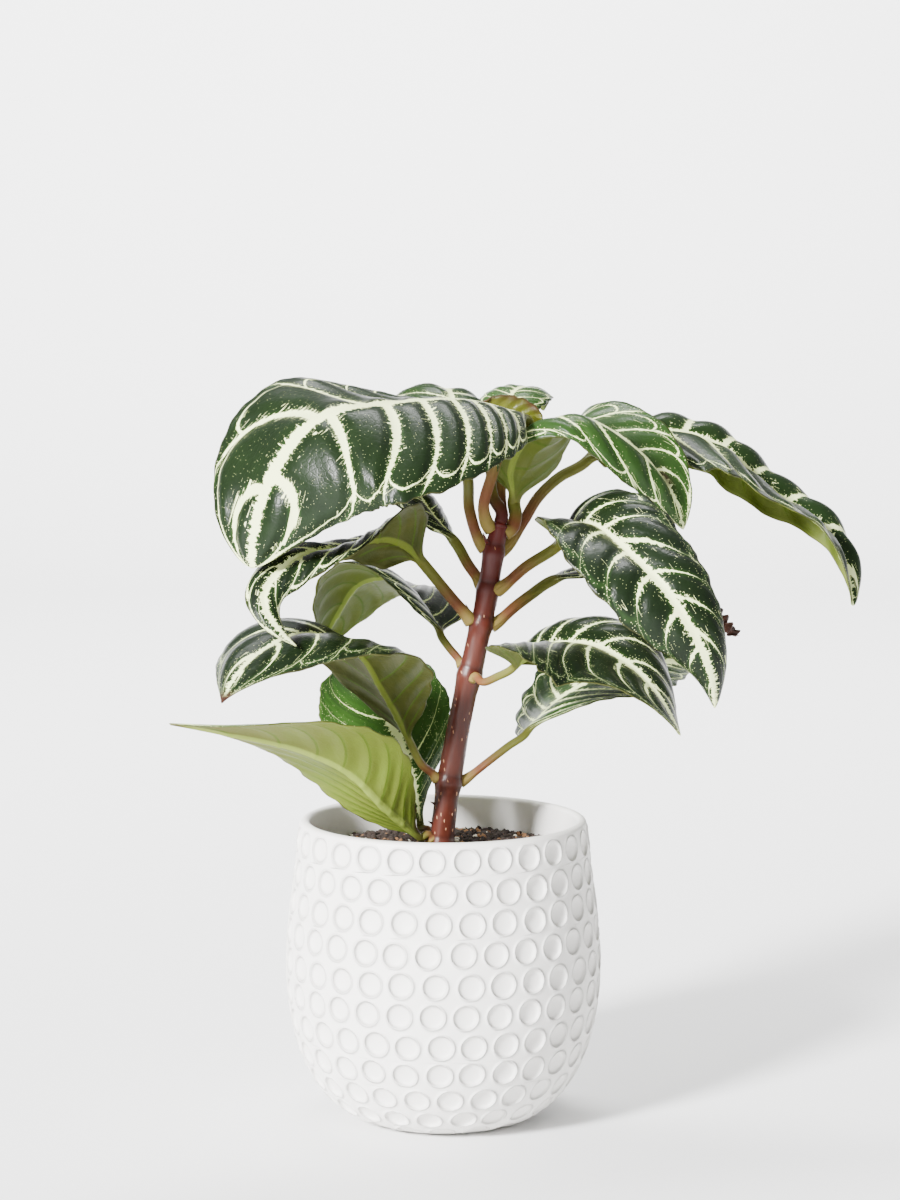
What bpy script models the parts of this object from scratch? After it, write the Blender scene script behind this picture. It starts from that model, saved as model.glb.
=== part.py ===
"""A zebra plant in a white bowl pot whose outside is covered in dished circles.

Metres, +Z up. The origin is the middle of the pot's foot, and -Y is the front.
"""
import math

import bmesh
import bpy
import numpy as np

MM = 0.001
GAP = 0.3
FULL_TURN = 2 * math.pi

# Pot, in millimetres: (radius, height) of the outside from the foot to just under the lip
POT_OUTLINE = (
    (33, 0.8), (42, 4.8), (51.5, 14), (59, 28), (63.3, 45), (64.8, 64), (63.6, 84), (60.8, 106), (59.2, 121),
)
POT_LIP = ((59.0, 122.6), (57.9, 124.1), (56.6, 124.5), (55.4, 124.0), (54.8, 122.4))
POT_WALL = 4.4
POT_FLOOR = 5.5
POT_FLOOR_ROUNDING = 4
POT_INSIDE_HEIGHTS = (110.3, 92, 70, 48, 28, 14)
FOOT_RADIUS = 31.5
DIMPLE_PITCH = 13.2
DIMPLE_SHARE = 0.42
DIMPLE_DEPTH = 1.3
DIMPLE_RIM = 0.35
CLOSEST_CORNERS = 0.12

# Soil, in millimetres. SOIL_CROWN: (radius, share of the mound's height)
SOIL_LEVEL = 110.0
SOIL_MOUND = 1.5
SOIL_CROWN = ((0, 1.0), (18, 0.9), (38, 0.4))
SOIL_SIDES = 40

# Stem, in millimetres: (x, y, z, radius) from its foot in the soil to the growing tip
STEM_LINE = (
    (-4.4, 0, 80, 4.9), (-2.8, 0, 96, 4.9), (-1.4, 0, 108, 5.0), (-1.0, 0, 113, 5.4), (-0.4, 0, 118, 5.0),
    (1.4, 0, 133, 4.9), (2.2, 0, 139, 5.6), (3.2, 0, 144, 5.0), (6.0, 0, 160, 4.7), (9.0, 0, 176, 4.7),
    (10.6, 0, 183, 5.3), (12.2, 0, 189, 4.7), (14.6, 0, 200, 4.6), (15.6, 0, 204.5, 5.0), (16.6, 0, 209, 4.4),
    (18.3, 0, 218.5, 4.7), (19.3, 0, 225, 4.2), (20.5, 0, 233.5, 4.5), (21.6, 0, 239, 3.8), (23.0, 0, 245, 3.6),
)
STEM_TIP_ROUNDING = 1.0

# Leaves, in millimetres and degrees. QUILT_SPAN: where on half a sine wave the puffed rows begin and end
BLADE_THICKNESS = 0.8
MIDRIB_DEPTH = 1.0
MIDRIB_TAPER = 0.7
JOINT_RADIUS = 2.4
JOINT_LENGTH = 2.4
PETIOLE_RADIUS = 1.55
PETIOLE_STATIONS = 5
PETIOLE_EDGE_ANGLE = 78
COLUMNS = 3
VEIN_SLANT = 0.10
QUILT_HEIGHT = 1.1
QUILT_FULL_WIDTH = 12
QUILT_SPAN = (0.06, 0.91)
FRAME_WINDOW = 0.3
NORMAL_STEP = 0.02
MIN_HALF_WIDTH = 0.5

# One row for each leaf. petiole: (height on the stem, heading round it), then points up to the blade.
# blade: six points along the midrib. width is the half width; belly and fullness shape the outline.
# roll turns the blade about its midrib at its base, middle and tip.
# left and right give each half's fold and curl, as (fold at base, at tip, curl at base, at tip).
# pairs is the number of side vein pairs.
LEAVES = {
    "leaf_upper_left": dict(
        petiole=(242.5, -165), through=((15, -3.5, 250), (17, -7.5, 264), (24, -12, 279)),
        blade=((34, -13, 288), (13, -33, 297), (-19, -50, 297), (-48, -59, 291), (-68, -62, 264), (-74, -61, 233)),
        width=52, belly=0.98, fullness=0.70, roll=(-9, 6, 33),
        left=(-28, -24, -41, -22), right=(-17, 11, 38, 3), pairs=8),
    "leaf_upper_right": dict(
        petiole=(242.5, 10), through=((29.5, 2.5, 248),),
        blade=((29, 4.5, 255), (38, -3.5, 274), (55, -9.5, 286), (73, -12, 280), (89, -13, 264), (97, -11, 244)),
        width=30, belly=0.76, fullness=0.88, roll=(39, -5, -36),
        left=(37, 39, 6, 43), right=(24, -13, -112, -104), pairs=7),
    "leaf_far_right": dict(
        petiole=(234.5, 40), through=((33, 10, 246), (39, 17, 255), (48, 24, 263)),
        blade=((59, 28, 269), (85, 38, 282), (115, 44, 276), (137, 44, 257), (162, 39, 238), (171, 28, 209)),
        width=40, belly=0.71, fullness=0.58, roll=(-5, -11, -21),
        left=(29, 73, -150, -208), right=(-16, 21, -12, 5), pairs=8),
    "leaf_back_left": dict(
        petiole=(234.5, 165), through=((11, 3, 250),),
        blade=((10, 14, 264), (6, 28, 284), (3, 48, 297), (-1, 70, 298), (-6, 92, 288), (-11, 108, 268)),
        width=25, belly=0.85, fullness=0.9, roll=(0, 0, 0),
        left=(10, 0, -70, -40), right=(10, 0, -70, -40), pairs=7),
    "leaf_back_top": dict(
        petiole=(243, 80), through=((23.5, 9, 257), (23.5, 10.5, 269)),
        blade=((23, 11, 280), (25, 18, 291), (29, 29, 298), (34, 42, 300), (39, 56, 297), (43, 66, 289)),
        width=15, belly=0.85, fullness=0.9, roll=(0, 0, 0),
        left=(15, 5, -60, -40), right=(15, 5, -60, -40), pairs=6),
    "leaf_side_left": dict(
        petiole=(220, 140), through=((10.5, 6, 228),),
        blade=((5, 11, 237), (-4, 20, 248), (-14, 36, 259), (-26, 54, 263), (-35, 70, 258), (-42, 84, 244)),
        width=16, belly=0.85, fullness=0.9, roll=(0, 0, 0),
        left=(10, 0, -50, -40), right=(10, 0, -50, -40), pairs=6),
    "leaf_front_right": dict(
        petiole=(219, -25), through=((33, -5, 228),),
        blade=((47, -8, 238), (58, -31, 248), (72, -54, 239), (86, -69, 225), (100, -72, 202), (106, -59, 178)),
        width=25, belly=0.70, fullness=0.79, roll=(-26, -12, -36),
        left=(75, 5, -88, -52), right=(43, -34, 16, -82), pairs=8),
    "leaf_folded_left": dict(
        petiole=(204.5, -170), through=((3, -2, 216), (-5, -4, 226)),
        blade=((-9, -6, 231), (-22, -22, 241), (-40, -39, 239), (-57, -52, 236), (-69, -65, 222), (-56, -73, 204)),
        width=20, belly=0.54, fullness=0.94, roll=(-35, 5, 33),
        left=(45, -18, 11, -85), right=(42, 27, -134, -32), pairs=7),
    "leaf_shrivelled_right": dict(
        petiole=(204.5, 15), through=((29, 3, 211), (36, 6, 216)),
        blade=((44, 10, 221), (60, 18, 226), (78, 26, 227), (95, 33, 223), (109, 38, 214), (120, 40, 206)),
        width=14, belly=0.85, fullness=0.9, roll=(0, 0, 0),
        left=(15, 5, -40, -40), right=(15, 5, -40, -40), pairs=6),
    "leaf_twisted_left": dict(
        petiole=(186, 150), through=((2.5, 6, 194),),
        blade=((-1, 8, 199), (-8, 16, 211), (-22, 25, 221), (-35, 32, 218), (-45, 39, 204), (-53, 45, 188)),
        width=30, belly=0.78, fullness=0.69, roll=(-24, -38, -8),
        left=(25, 6, -33, -41), right=(-5, -13, 19, -16), pairs=7),
    "leaf_lower_right": dict(
        petiole=(182.5, -70), through=((16, -10, 182), (22, -12.5, 184.5)),
        blade=((28, -14, 188), (42, -20, 198), (60, -28, 199), (74, -36, 192), (85, -46, 181), (93, -57, 167)),
        width=47, belly=0.54, fullness=0.98, roll=(-5, -21, 20),
        left=(52, -5, -163, -10), right=(32, -9, -16, -6), pairs=8),
    "leaf_brown_tip_left": dict(
        petiole=(139.5, -165), through=((-8.5, -5, 147),),
        blade=((-13, -8, 156), (-24, -19, 179), (-36, -33, 199), (-55, -48, 206), (-73, -67, 199), (-84, -88, 184)),
        width=39, belly=0.95, fullness=1.17, roll=(-8, 8, 4),
        left=(27, -1, -12, -34), right=(34, 4, -61, -44), pairs=8),
    "leaf_low_right": dict(
        petiole=(139.5, 10), through=((18.5, 1, 147.5), (27, 1.5, 154)),
        blade=((34, 2, 159), (46, 16, 170), (61, 30, 177), (75, 42, 181), (91, 56, 182), (107, 70, 178)),
        width=29, belly=0.69, fullness=0.70, roll=(29, -6, -28),
        left=(-23, 25, 8, 4), right=(-5, 3, 0, -3), pairs=8),
    "leaf_low_back": dict(
        petiole=(115.5, 140), through=(),
        blade=((-9.5, 9.5, 119.5), (-11.5, 8.5, 135), (-17, 14, 152), (-24, 27, 163), (-32, 43, 172), (-40, 60, 179)),
        width=28, belly=1.37, fullness=0.85, roll=(-24, -13, -18),
        left=(35, -22, 60, 7), right=(13, -39, -22, -40), pairs=6),
    "leaf_lowest_left": dict(
        petiole=(115.5, -150), through=(),
        blade=((-9.5, -5, 117), (-23, -19, 131), (-38, -32, 148), (-57, -43, 159), (-81, -52, 166), (-107, -58, 172)),
        width=27, belly=1.02, fullness=0.93, roll=(-29, -7, 1),
        left=(37, 25, 20, -63), right=(15, 23, -24, -25), pairs=8),
    "bud_leaf": dict(
        petiole=(245, None), through=((20.5, 2, 256), (19, 2.5, 267), (15.5, 0, 279)),
        blade=((13.5, -3, 286), (16, -4, 291.5), (21.5, -4.5, 294.5), (28, -5, 295), (35, -5.5, 294), (40.5, -6, 291)),
        width=7, belly=0.85, fullness=0.6, roll=(0, 0, 0),
        left=(25, 25, -90, -60), right=(-20, -20, -60, -60), pairs=3),
}

# Colours: (red, green, blue), roughness
FINISHES = {
    "pot": ((0.84, 0.83, 0.80), 0.55),
    "soil": ((0.035, 0.024, 0.017), 0.95),
    "stem": ((0.15, 0.045, 0.035), 0.45),
    "leaf": ((0.028, 0.075, 0.022), 0.35),
    "bud": ((0.32, 0.38, 0.08), 0.45),
}


def smooth_line(points, count, first=None, last=None):
    """Evenly spaced points on a smooth curve through the given points, and its length.

    first and last are the directions of its ends, where they are given.
    """
    knots = np.array(points, float)
    steps = np.linalg.norm(np.diff(knots[:, :3], axis=0), axis=1)
    at = np.concatenate(([0.0], np.cumsum(steps)))
    slopes = np.gradient(knots, at, axis=0, edge_order=2)
    if first is not None:
        slopes[0] = first
    if last is not None:
        slopes[-1] = last
    fine = np.linspace(0, at[-1], 12 * count)
    i = np.clip(np.searchsorted(at, fine, side="right") - 1, 0, len(steps) - 1)
    h = steps[i][:, None]
    u = (fine[:, None] - at[i][:, None]) / h
    dense = ((2 * u**3 - 3 * u**2 + 1) * knots[i] + (u**3 - 2 * u**2 + u) * h * slopes[i]
             + (3 * u**2 - 2 * u**3) * knots[i + 1] + (u**3 - u**2) * h * slopes[i + 1])
    run = np.concatenate(([0.0], np.cumsum(np.linalg.norm(np.diff(dense[:, :3], axis=0), axis=1))))
    even = np.linspace(0, run[-1], count)
    return np.stack([np.interp(even, run, column) for column in dense.T], axis=1), run[-1]


def along(table, share):
    """Value of an evenly spaced table at a share of its length, from 0 to 1."""
    at = np.linspace(0, 1, len(table))
    return np.array([np.interp(share, at, column) for column in np.asarray(table).T])


def along_height(line, z):
    """Place and radius on the stem's line at a height."""
    return np.array([np.interp(z, line[:, 2], column) for column in line.T])


def unit(vector):
    return vector / np.linalg.norm(vector)


def finish(name):
    """One plain material for each kind of surface."""
    material = bpy.data.materials.get(name)
    if material is None:
        material = bpy.data.materials.new(name)
        material.use_nodes = True
        shader = material.node_tree.nodes["Principled BSDF"]
        colour, roughness = FINISHES[name]
        shader.inputs["Base Color"].default_value = (*colour, 1.0)
        shader.inputs["Roughness"].default_value = roughness
        shader.inputs["Metallic"].default_value = 0.0
    return material


def new_collection(name):
    collection = bpy.data.collections.new(name)
    bpy.context.scene.collection.children.link(collection)
    return collection


def add_object(name, data, material_name, collection):
    thing = bpy.data.objects.new(name, data)
    collection.objects.link(thing)
    if material_name:
        data.materials.clear()
        data.materials.append(finish(material_name))
    return thing


def object_from_bmesh(name, shape, material_name, collection, sharp_angle):
    """A smooth-shaded object from a bmesh in millimetres, with its faces pointing out."""
    bmesh.ops.recalc_face_normals(shape, faces=shape.faces)
    bmesh.ops.scale(shape, vec=(MM, MM, MM), verts=shape.verts)
    mesh = bpy.data.meshes.new(name)
    shape.to_mesh(mesh)
    shape.free()
    mesh.shade_smooth()
    mesh.set_sharp_from_angle(angle=math.radians(sharp_angle))
    return add_object(name, mesh, material_name, collection)


def join_rings(shape, lower, upper):
    """Quads between two closed rings with the same number of vertices."""
    count = len(lower)
    for i in range(count):
        j = (i + 1) % count
        shape.faces.new((lower[i], lower[j], upper[j], upper[i]))


class PotSkin:
    """The pot's outside as a surface: angle round the pot, distance up its outline, height above it."""

    def __init__(self):
        self.line, self.length = smooth_line(POT_OUTLINE, 200)
        self.slope = np.gradient(self.line, axis=0)

    def radius(self, run):
        return along(self.line, run / self.length)[0]

    def point(self, angle, run, lift=0.0):
        share = min(max(run / self.length, 0.0), 1.0)
        radius, height = along(self.line, share)
        step_r, step_z = unit(along(self.slope, share))
        radius += lift * step_z
        height -= lift * step_r
        return (radius * math.cos(angle), radius * math.sin(angle), height)


def corner_angles(count, row):
    """Corner angles of a row of circles. Every second row is set half a circle round."""
    start = 0.5 * (row % 2)
    return [(k + start) * FULL_TURN / count for k in range(count)]


def merged_angles(*groups):
    """All the angles of two neighbouring rows, sorted, with near doubles left out."""
    angles = sorted(a % FULL_TURN for group in groups for a in group)
    closest = CLOSEST_CORNERS * FULL_TURN / max(len(group) for group in groups)
    kept = [angles[0]]
    for angle in angles[1:]:
        if angle - kept[-1] > closest and kept[0] + FULL_TURN - angle > closest:
            kept.append(angle)
    return kept


def nearest_index(angles, angle):
    def away(k):
        return abs((angles[k] - angle + math.pi) % FULL_TURN - math.pi)
    return min(range(len(angles)), key=away)


def pot_dimple(shape, skin, centre, half_size, outline):
    """One dished circle: a raised rim inside its cell, and a sunk middle."""
    angle, run = centre
    radius = skin.radius(run)
    reach = DIMPLE_SHARE * 2 * min(half_size)
    rim = []
    for vertex, vertex_angle, vertex_run in outline:
        across = ((vertex_angle - angle + math.pi) % FULL_TURN - math.pi) * radius
        up = vertex_run - run
        size = math.hypot(across, up)
        place = skin.point(angle + reach * across / size / radius, run + reach * up / size, DIMPLE_RIM)
        rim.append(shape.verts.new(place))
    middle = shape.verts.new(skin.point(angle, run, -DIMPLE_DEPTH))
    join_rings(shape, [vertex for vertex, _, _ in outline], rim)
    for i, vertex in enumerate(rim):
        shape.faces.new((vertex, rim[(i + 1) % len(rim)], middle))


def make_pot(collection):
    """Bowl pot: rows of dished circles outside, a round lip, a plain inside and a flat foot."""
    skin = PotSkin()
    rows = round(skin.length / DIMPLE_PITCH)
    height = skin.length / rows
    counts = [round(FULL_TURN * skin.radius((row + 0.5) * height) / DIMPLE_PITCH) for row in range(rows)]
    corners = [corner_angles(count, row) for row, count in enumerate(counts)]
    middles = [a + math.pi / counts[-1] for a in corners[-1]]
    ring_angles = [sorted(corners[0])]
    for row in range(1, rows):
        ring_angles.append(merged_angles(corners[row - 1], corners[row]))
    ring_angles.append(merged_angles(corners[-1], middles))
    shape = bmesh.new()
    rings = []
    for row, angles in enumerate(ring_angles):
        rings.append([shape.verts.new(skin.point(a, row * height)) for a in angles])
    for row in range(rows):
        pitch = FULL_TURN / counts[row]
        for start in corners[row]:
            outline = []
            for level, first, last in ((row, start, start + pitch), (row + 1, start + pitch, start)):
                angles = ring_angles[level]
                k = nearest_index(angles, first)
                end = nearest_index(angles, last)
                turn = 1 if level == row else -1
                while True:
                    outline.append((rings[level][k], angles[k], level * height))
                    if k == end:
                        break
                    k = (k + turn) % len(angles)
            half_size = (0.5 * pitch * skin.radius((row + 0.5) * height), 0.5 * height)
            pot_dimple(shape, skin, (start + 0.5 * pitch, (row + 0.5) * height), half_size, outline)
    top = rings[-1]
    angles = ring_angles[-1]
    inside = [(pot_inside_radius(z), z) for z in POT_INSIDE_HEIGHTS]
    floor = (pot_inside_radius(POT_FLOOR) - POT_FLOOR_ROUNDING, POT_FLOOR)
    for radius, z in (*POT_LIP, *inside, floor):
        ring = [shape.verts.new((radius * math.cos(a), radius * math.sin(a), z)) for a in angles]
        join_rings(shape, top, ring)
        top = ring
    close_ring(shape, top, (0, 0, POT_FLOOR))
    foot = [shape.verts.new((FOOT_RADIUS * math.cos(a), FOOT_RADIUS * math.sin(a), 0)) for a in ring_angles[0]]
    join_rings(shape, foot, rings[0])
    close_ring(shape, foot[::-1], (0, 0, 0))
    return object_from_bmesh("pot", shape, "pot", collection, 50)


def pot_inside_radius(z):
    """Radius of the pot's inside at a height: the outline less the wall."""
    line, _ = smooth_line(POT_OUTLINE, 100)
    return float(np.interp(z, line[:, 1], line[:, 0])) - POT_WALL


def close_ring(shape, ring, centre):
    middle = shape.verts.new(centre)
    for i, vertex in enumerate(ring):
        shape.faces.new((vertex, ring[(i + 1) % len(ring)], middle))


def make_tube(name, line, material_name, collection, grow=0.0):
    """A closed tube mesh from a curve whose points carry their own radius."""
    curve = bpy.data.curves.new(name + "_line", "CURVE")
    curve.dimensions = "3D"
    curve.bevel_depth = MM
    curve.bevel_resolution = 3
    curve.use_fill_caps = True
    spline = curve.splines.new("POLY")
    spline.points.add(len(line) - 1)
    for point, (x, y, z, radius) in zip(spline.points, line):
        point.co = (x * MM, y * MM, z * MM, 1.0)
        point.radius = radius + grow
    guide = bpy.data.objects.new(name + "_line", curve)
    collection.objects.link(guide)
    bpy.context.view_layer.update()
    graph = bpy.context.evaluated_depsgraph_get()
    mesh = bpy.data.meshes.new_from_object(guide.evaluated_get(graph))
    shape = bmesh.new()
    shape.from_mesh(mesh)
    bmesh.ops.remove_doubles(shape, verts=shape.verts, dist=0.00001)
    bmesh.ops.recalc_face_normals(shape, faces=shape.faces)
    shape.to_mesh(mesh)
    shape.free()
    mesh.shade_smooth()
    mesh.set_sharp_from_angle(angle=math.radians(50))
    tube = add_object(name, mesh, material_name, collection)
    tube.matrix_world = guide.matrix_world
    bpy.data.objects.remove(guide)
    return tube


def make_stem(collection):
    """One woody stem, thicker at each pair of leaves, rounded off at the growing tip."""
    line = np.array(STEM_LINE, float)
    heading = unit(line[-1, :3] - line[-2, :3])
    tip = (*(line[-1, :3] + STEM_TIP_ROUNDING * heading), 0.6 * line[-1, 3])
    return make_tube("stem", (*STEM_LINE, tip), "stem", collection)


def make_soil(parts, cutters):
    """Soil that fills the pot, turned to fit its inside, with a plain hole for the stem."""
    inside = [z for z in POT_INSIDE_HEIGHTS if z < SOIL_LEVEL]
    walls = [(pot_inside_radius(z) - 2 * GAP, z) for z in inside]
    edge = pot_inside_radius(SOIL_LEVEL) - 2 * GAP
    floor = POT_FLOOR + GAP
    crown = [(radius, SOIL_LEVEL + share * SOIL_MOUND) for radius, share in SOIL_CROWN]
    bottom = pot_inside_radius(POT_FLOOR) - POT_FLOOR_ROUNDING - 1
    profile = [*crown, (edge, SOIL_LEVEL), *walls, (bottom, floor), (0, floor)]
    mesh = bpy.data.meshes.new("soil")
    verts = [(radius * MM, 0, z * MM) for radius, z in profile]
    mesh.from_pydata(verts, [(i, i + 1) for i in range(len(verts) - 1)], [])
    soil = add_object("soil", mesh, "soil", parts)
    screw = soil.modifiers.new("turn", "SCREW")
    screw.steps = SOIL_SIDES
    screw.render_steps = SOIL_SIDES
    screw.use_merge_vertices = True
    screw.merge_threshold = 0.00001
    foot = [(x, y, z - GAP if i == 0 else z, radius) for i, (x, y, z, radius) in enumerate(STEM_LINE[:6])]
    cutter = make_tube("stem_hole", foot, None, cutters, grow=GAP)
    cutter.hide_render = True
    cutter.display_type = "WIRE"
    hole = soil.modifiers.new("stem hole", "BOOLEAN")
    hole.operation = "DIFFERENCE"
    hole.object = cutter
    return soil


def smoothed_headings(line):
    """Directions along a line, evened out so that a sharp bend doesn't fold the blade."""
    heading = np.gradient(line, axis=0)
    heading /= np.linalg.norm(heading, axis=1)[:, None]
    reach = int(FRAME_WINDOW * len(line) / 2)
    padded = np.concatenate((np.repeat(heading[:1], reach, 0), heading, np.repeat(heading[-1:], reach, 0)))
    weights = np.hanning(2 * reach + 3)[1:-1]
    weights /= weights.sum()
    heading = np.stack([np.convolve(padded[:, k], weights, "valid") for k in range(3)], axis=1)
    return heading / np.linalg.norm(heading, axis=1)[:, None]


def carried(heading, up):
    """An upward direction carried along a line's headings without twisting."""
    ups = []
    for direction in heading:
        up = unit(up - direction * (up @ direction))
        ups.append(up)
    return np.array(ups)


class Blade:
    """A leaf's petiole and blade. share runs from 0 to 1 along either of them."""

    def __init__(self, leaf):
        self.leaf = leaf
        self.line, _ = smooth_line(leaf["blade"], 200)
        heading = smoothed_headings(self.line)
        up = carried(heading, np.array((0.0, 0.0, 1.0)))
        side = np.cross(heading, up)
        share = np.linspace(0, 1, len(heading))
        roll = np.radians(np.interp(share, (0, 0.5, 1), leaf["roll"]))[:, None]
        self.side = np.cos(roll) * side + np.sin(roll) * up
        self.up = np.cos(roll) * up - np.sin(roll) * side
        foot, out = self.foot()
        knots = (foot, foot + JOINT_LENGTH * out, *leaf["through"], leaf["blade"][0])
        self.stalk, _ = smooth_line(knots, 60, out, heading[0])
        stalk_heading = np.gradient(self.stalk, axis=0)
        stalk_heading /= np.linalg.norm(stalk_heading, axis=1)[:, None]
        self.stalk_up = carried(stalk_heading[::-1], self.up[0])[::-1]
        self.stalk_side = np.cross(stalk_heading, self.stalk_up)

    def foot(self):
        """Where the petiole meets the stem, and the direction square out from there."""
        height, heading = self.leaf["petiole"]
        stem = np.array(STEM_LINE, float)
        centre = along_height(stem, height)
        axis = unit((along_height(stem, height + 4) - along_height(stem, height - 4))[:3])
        if heading is None:
            return stem[-1, :3] + (STEM_TIP_ROUNDING + GAP) * axis, axis
        out = np.array((math.cos(math.radians(heading)), math.sin(math.radians(heading)), 0.0))
        out = unit(out - axis * (out @ axis))
        return centre[:3] + out * (centre[3] + GAP), out

    def half_width(self, share):
        leaf = self.leaf
        swell = math.sin(math.pi * min(max(share, 0.0), 1.0) ** leaf["belly"])
        return max(leaf["width"] * max(swell, 0.0) ** leaf["fullness"], MIN_HALF_WIDTH)

    def point(self, share, across):
        """Point at a share of the blade's length, and across it from -1 to 1."""
        hand = -1 if across < 0 else 1
        a = abs(across)
        fold_base, fold_tip, curl_base, curl_tip = self.leaf["left" if hand < 0 else "right"]
        fold = math.radians(fold_base + (fold_tip - fold_base) * share)
        curl = math.radians(curl_base + (curl_tip - curl_base) * share)
        if abs(curl) < 0.001:
            curl = 0.001
        reach = (math.sin(fold + curl * a) - math.sin(fold)) / curl
        rise = (math.cos(fold) - math.cos(fold + curl * a)) / curl
        side = along(self.side, share)
        up = along(self.up, share)
        return along(self.line, share) + self.half_width(share) * (hand * reach * side + rise * up)

    def normal(self, share, across):
        """Upward direction square to the blade's surface."""
        before = self.point(max(share - NORMAL_STEP, 0.0), across)
        after = self.point(min(share + NORMAL_STEP, 1.0), across)
        left = self.point(share, max(across - NORMAL_STEP, -1.0))
        right = self.point(share, min(across + NORMAL_STEP, 1.0))
        return unit(np.cross(right - left, after - before))


def slanted(share, across):
    """Rows follow the side veins, which run towards the tip as they near the margin."""
    return share + VEIN_SLANT * abs(across) * 4 * share * (1 - share)


def leaf_ring(blade, row, rows, grow):
    """One ring of points round a leaf: its top from left to right, then its underside back."""
    across = [k / COLUMNS for k in range(-COLUMNS, COLUMNS + 1)]
    share = row / rows
    puff = QUILT_HEIGHT * (row % 2) * min(1.0, blade.half_width(share) / QUILT_FULL_WIDTH)
    top = []
    bottom = []
    for u in across:
        spot = slanted(share, u)
        normal = blade.normal(spot, u)
        swell = math.sin(math.pi * np.interp(abs(u), (0, 1), QUILT_SPAN))
        point = blade.point(spot, u) + normal * puff * swell
        rib = MIDRIB_DEPTH * (1 - MIDRIB_TAPER * share) if u == 0 else 0.0
        top.append(point + normal * BLADE_THICKNESS / 2)
        bottom.append(point - normal * (BLADE_THICKNESS / 2 + rib))
    ring = np.array(top + bottom[::-1])
    if grow < 1:
        round_ring = petiole_ring(blade, 1.0, PETIOLE_RADIUS)
        ring = round_ring * (1 - grow) + ring * grow
    return ring


def petiole_ring(blade, share, radius):
    """A round section of the petiole, with its points in the same order as a blade's."""
    middle = along(blade.stalk, share)
    side = along(blade.stalk_side, share)
    up = along(blade.stalk_up, share)
    angles = [math.radians(PETIOLE_EDGE_ANGLE) * k / COLUMNS for k in range(-COLUMNS, COLUMNS + 1)]
    top = [middle + radius * (math.sin(a) * side + math.cos(a) * up) for a in angles]
    bottom = [middle + radius * (math.sin(a) * side - math.cos(a) * up) for a in angles]
    return np.array(top + bottom[::-1])


def make_leaf(name, leaf, material_name, collection):
    """A leaf in one piece: swollen joint, petiole, and a quilted blade on its midrib."""
    blade = Blade(leaf)
    rows = 2 * leaf["pairs"]
    sections = []
    for station in range(PETIOLE_STATIONS):
        part = station / PETIOLE_STATIONS
        swelling = max(0.0, 1 - 3 * part)
        radius = PETIOLE_RADIUS + (JOINT_RADIUS - PETIOLE_RADIUS) * swelling
        sections.append(petiole_ring(blade, part, radius))
    sections.append(petiole_ring(blade, 1.0, PETIOLE_RADIUS))
    for row in range(1, rows):
        sections.append(leaf_ring(blade, row, rows, min(1.0, row / 2)))
    shape = bmesh.new()
    rings = [[shape.verts.new(point) for point in section] for section in sections]
    tip = shape.verts.new(along(blade.line, 1.0))
    half = 2 * COLUMNS + 1
    for lower, upper in zip(rings, rings[1:]):
        for k in range(2 * half):
            j = (k + 1) % (2 * half)
            rising = k < COLUMNS or half <= k < half + COLUMNS
            if rising:
                shape.faces.new((lower[k], lower[j], upper[k]))
                shape.faces.new((lower[j], upper[j], upper[k]))
            else:
                shape.faces.new((lower[k], lower[j], upper[j]))
                shape.faces.new((lower[k], upper[j], upper[k]))
    close_ring(shape, rings[0][::-1], along(blade.stalk, 0.0))
    last = rings[-1]
    for k, vertex in enumerate(last):
        shape.faces.new((vertex, last[(k + 1) % len(last)], tip))
    return object_from_bmesh(name, shape, material_name, collection, 60)


def main():
    for thing in list(bpy.data.objects):
        bpy.data.objects.remove(thing)
    parts = new_collection("potted_zebra_plant")
    cutters = new_collection("cutters")
    make_pot(parts)
    make_soil(parts, cutters)
    make_stem(parts)
    for name, leaf in LEAVES.items():
        make_leaf(name, leaf, "bud" if name == "bud_leaf" else "leaf", parts)


main()
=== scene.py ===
# %% [markdown]
# # A zebra plant in a pot of dished circles
#
# A zebra plant is grown for its leaves: dark, quilted blades with a thick cream midrib and cream side
# veins whose edges look torn. This one stands in a round white pot that is covered in shallow dished
# circles. The solid parts come from the imported part. This lesson gives them their finer shapes and
# their finishes.

# %% The frame
import math

import bpy
import numpy as np
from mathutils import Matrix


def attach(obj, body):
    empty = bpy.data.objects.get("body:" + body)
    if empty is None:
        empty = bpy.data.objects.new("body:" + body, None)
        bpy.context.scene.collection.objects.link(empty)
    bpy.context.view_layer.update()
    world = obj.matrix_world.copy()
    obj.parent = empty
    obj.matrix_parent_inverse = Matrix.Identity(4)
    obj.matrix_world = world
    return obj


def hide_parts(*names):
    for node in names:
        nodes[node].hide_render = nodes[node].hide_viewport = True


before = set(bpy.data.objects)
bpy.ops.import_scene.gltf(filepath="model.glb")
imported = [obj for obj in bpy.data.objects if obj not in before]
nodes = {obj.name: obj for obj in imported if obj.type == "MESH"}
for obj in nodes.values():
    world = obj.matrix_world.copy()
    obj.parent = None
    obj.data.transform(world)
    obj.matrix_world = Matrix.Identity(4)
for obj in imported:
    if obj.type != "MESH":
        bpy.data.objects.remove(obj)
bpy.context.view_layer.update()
MM = 0.001
TURN = 2 * math.pi
print("parts in the frame:", len(nodes))

# %% [markdown]
# ## A bench for node trees
#
# Finishes and rule-made shapes are both node trees. Written node by node they are long and hard to
# read, so a small class wraps a socket and lets Python's own signs add the Math nodes. Every other
# node comes from one method: its kind, its settings, then the values or links of its sockets. A finish
# is such a bench with a shader at its end. What is the same all over is set on the shader itself.

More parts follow.
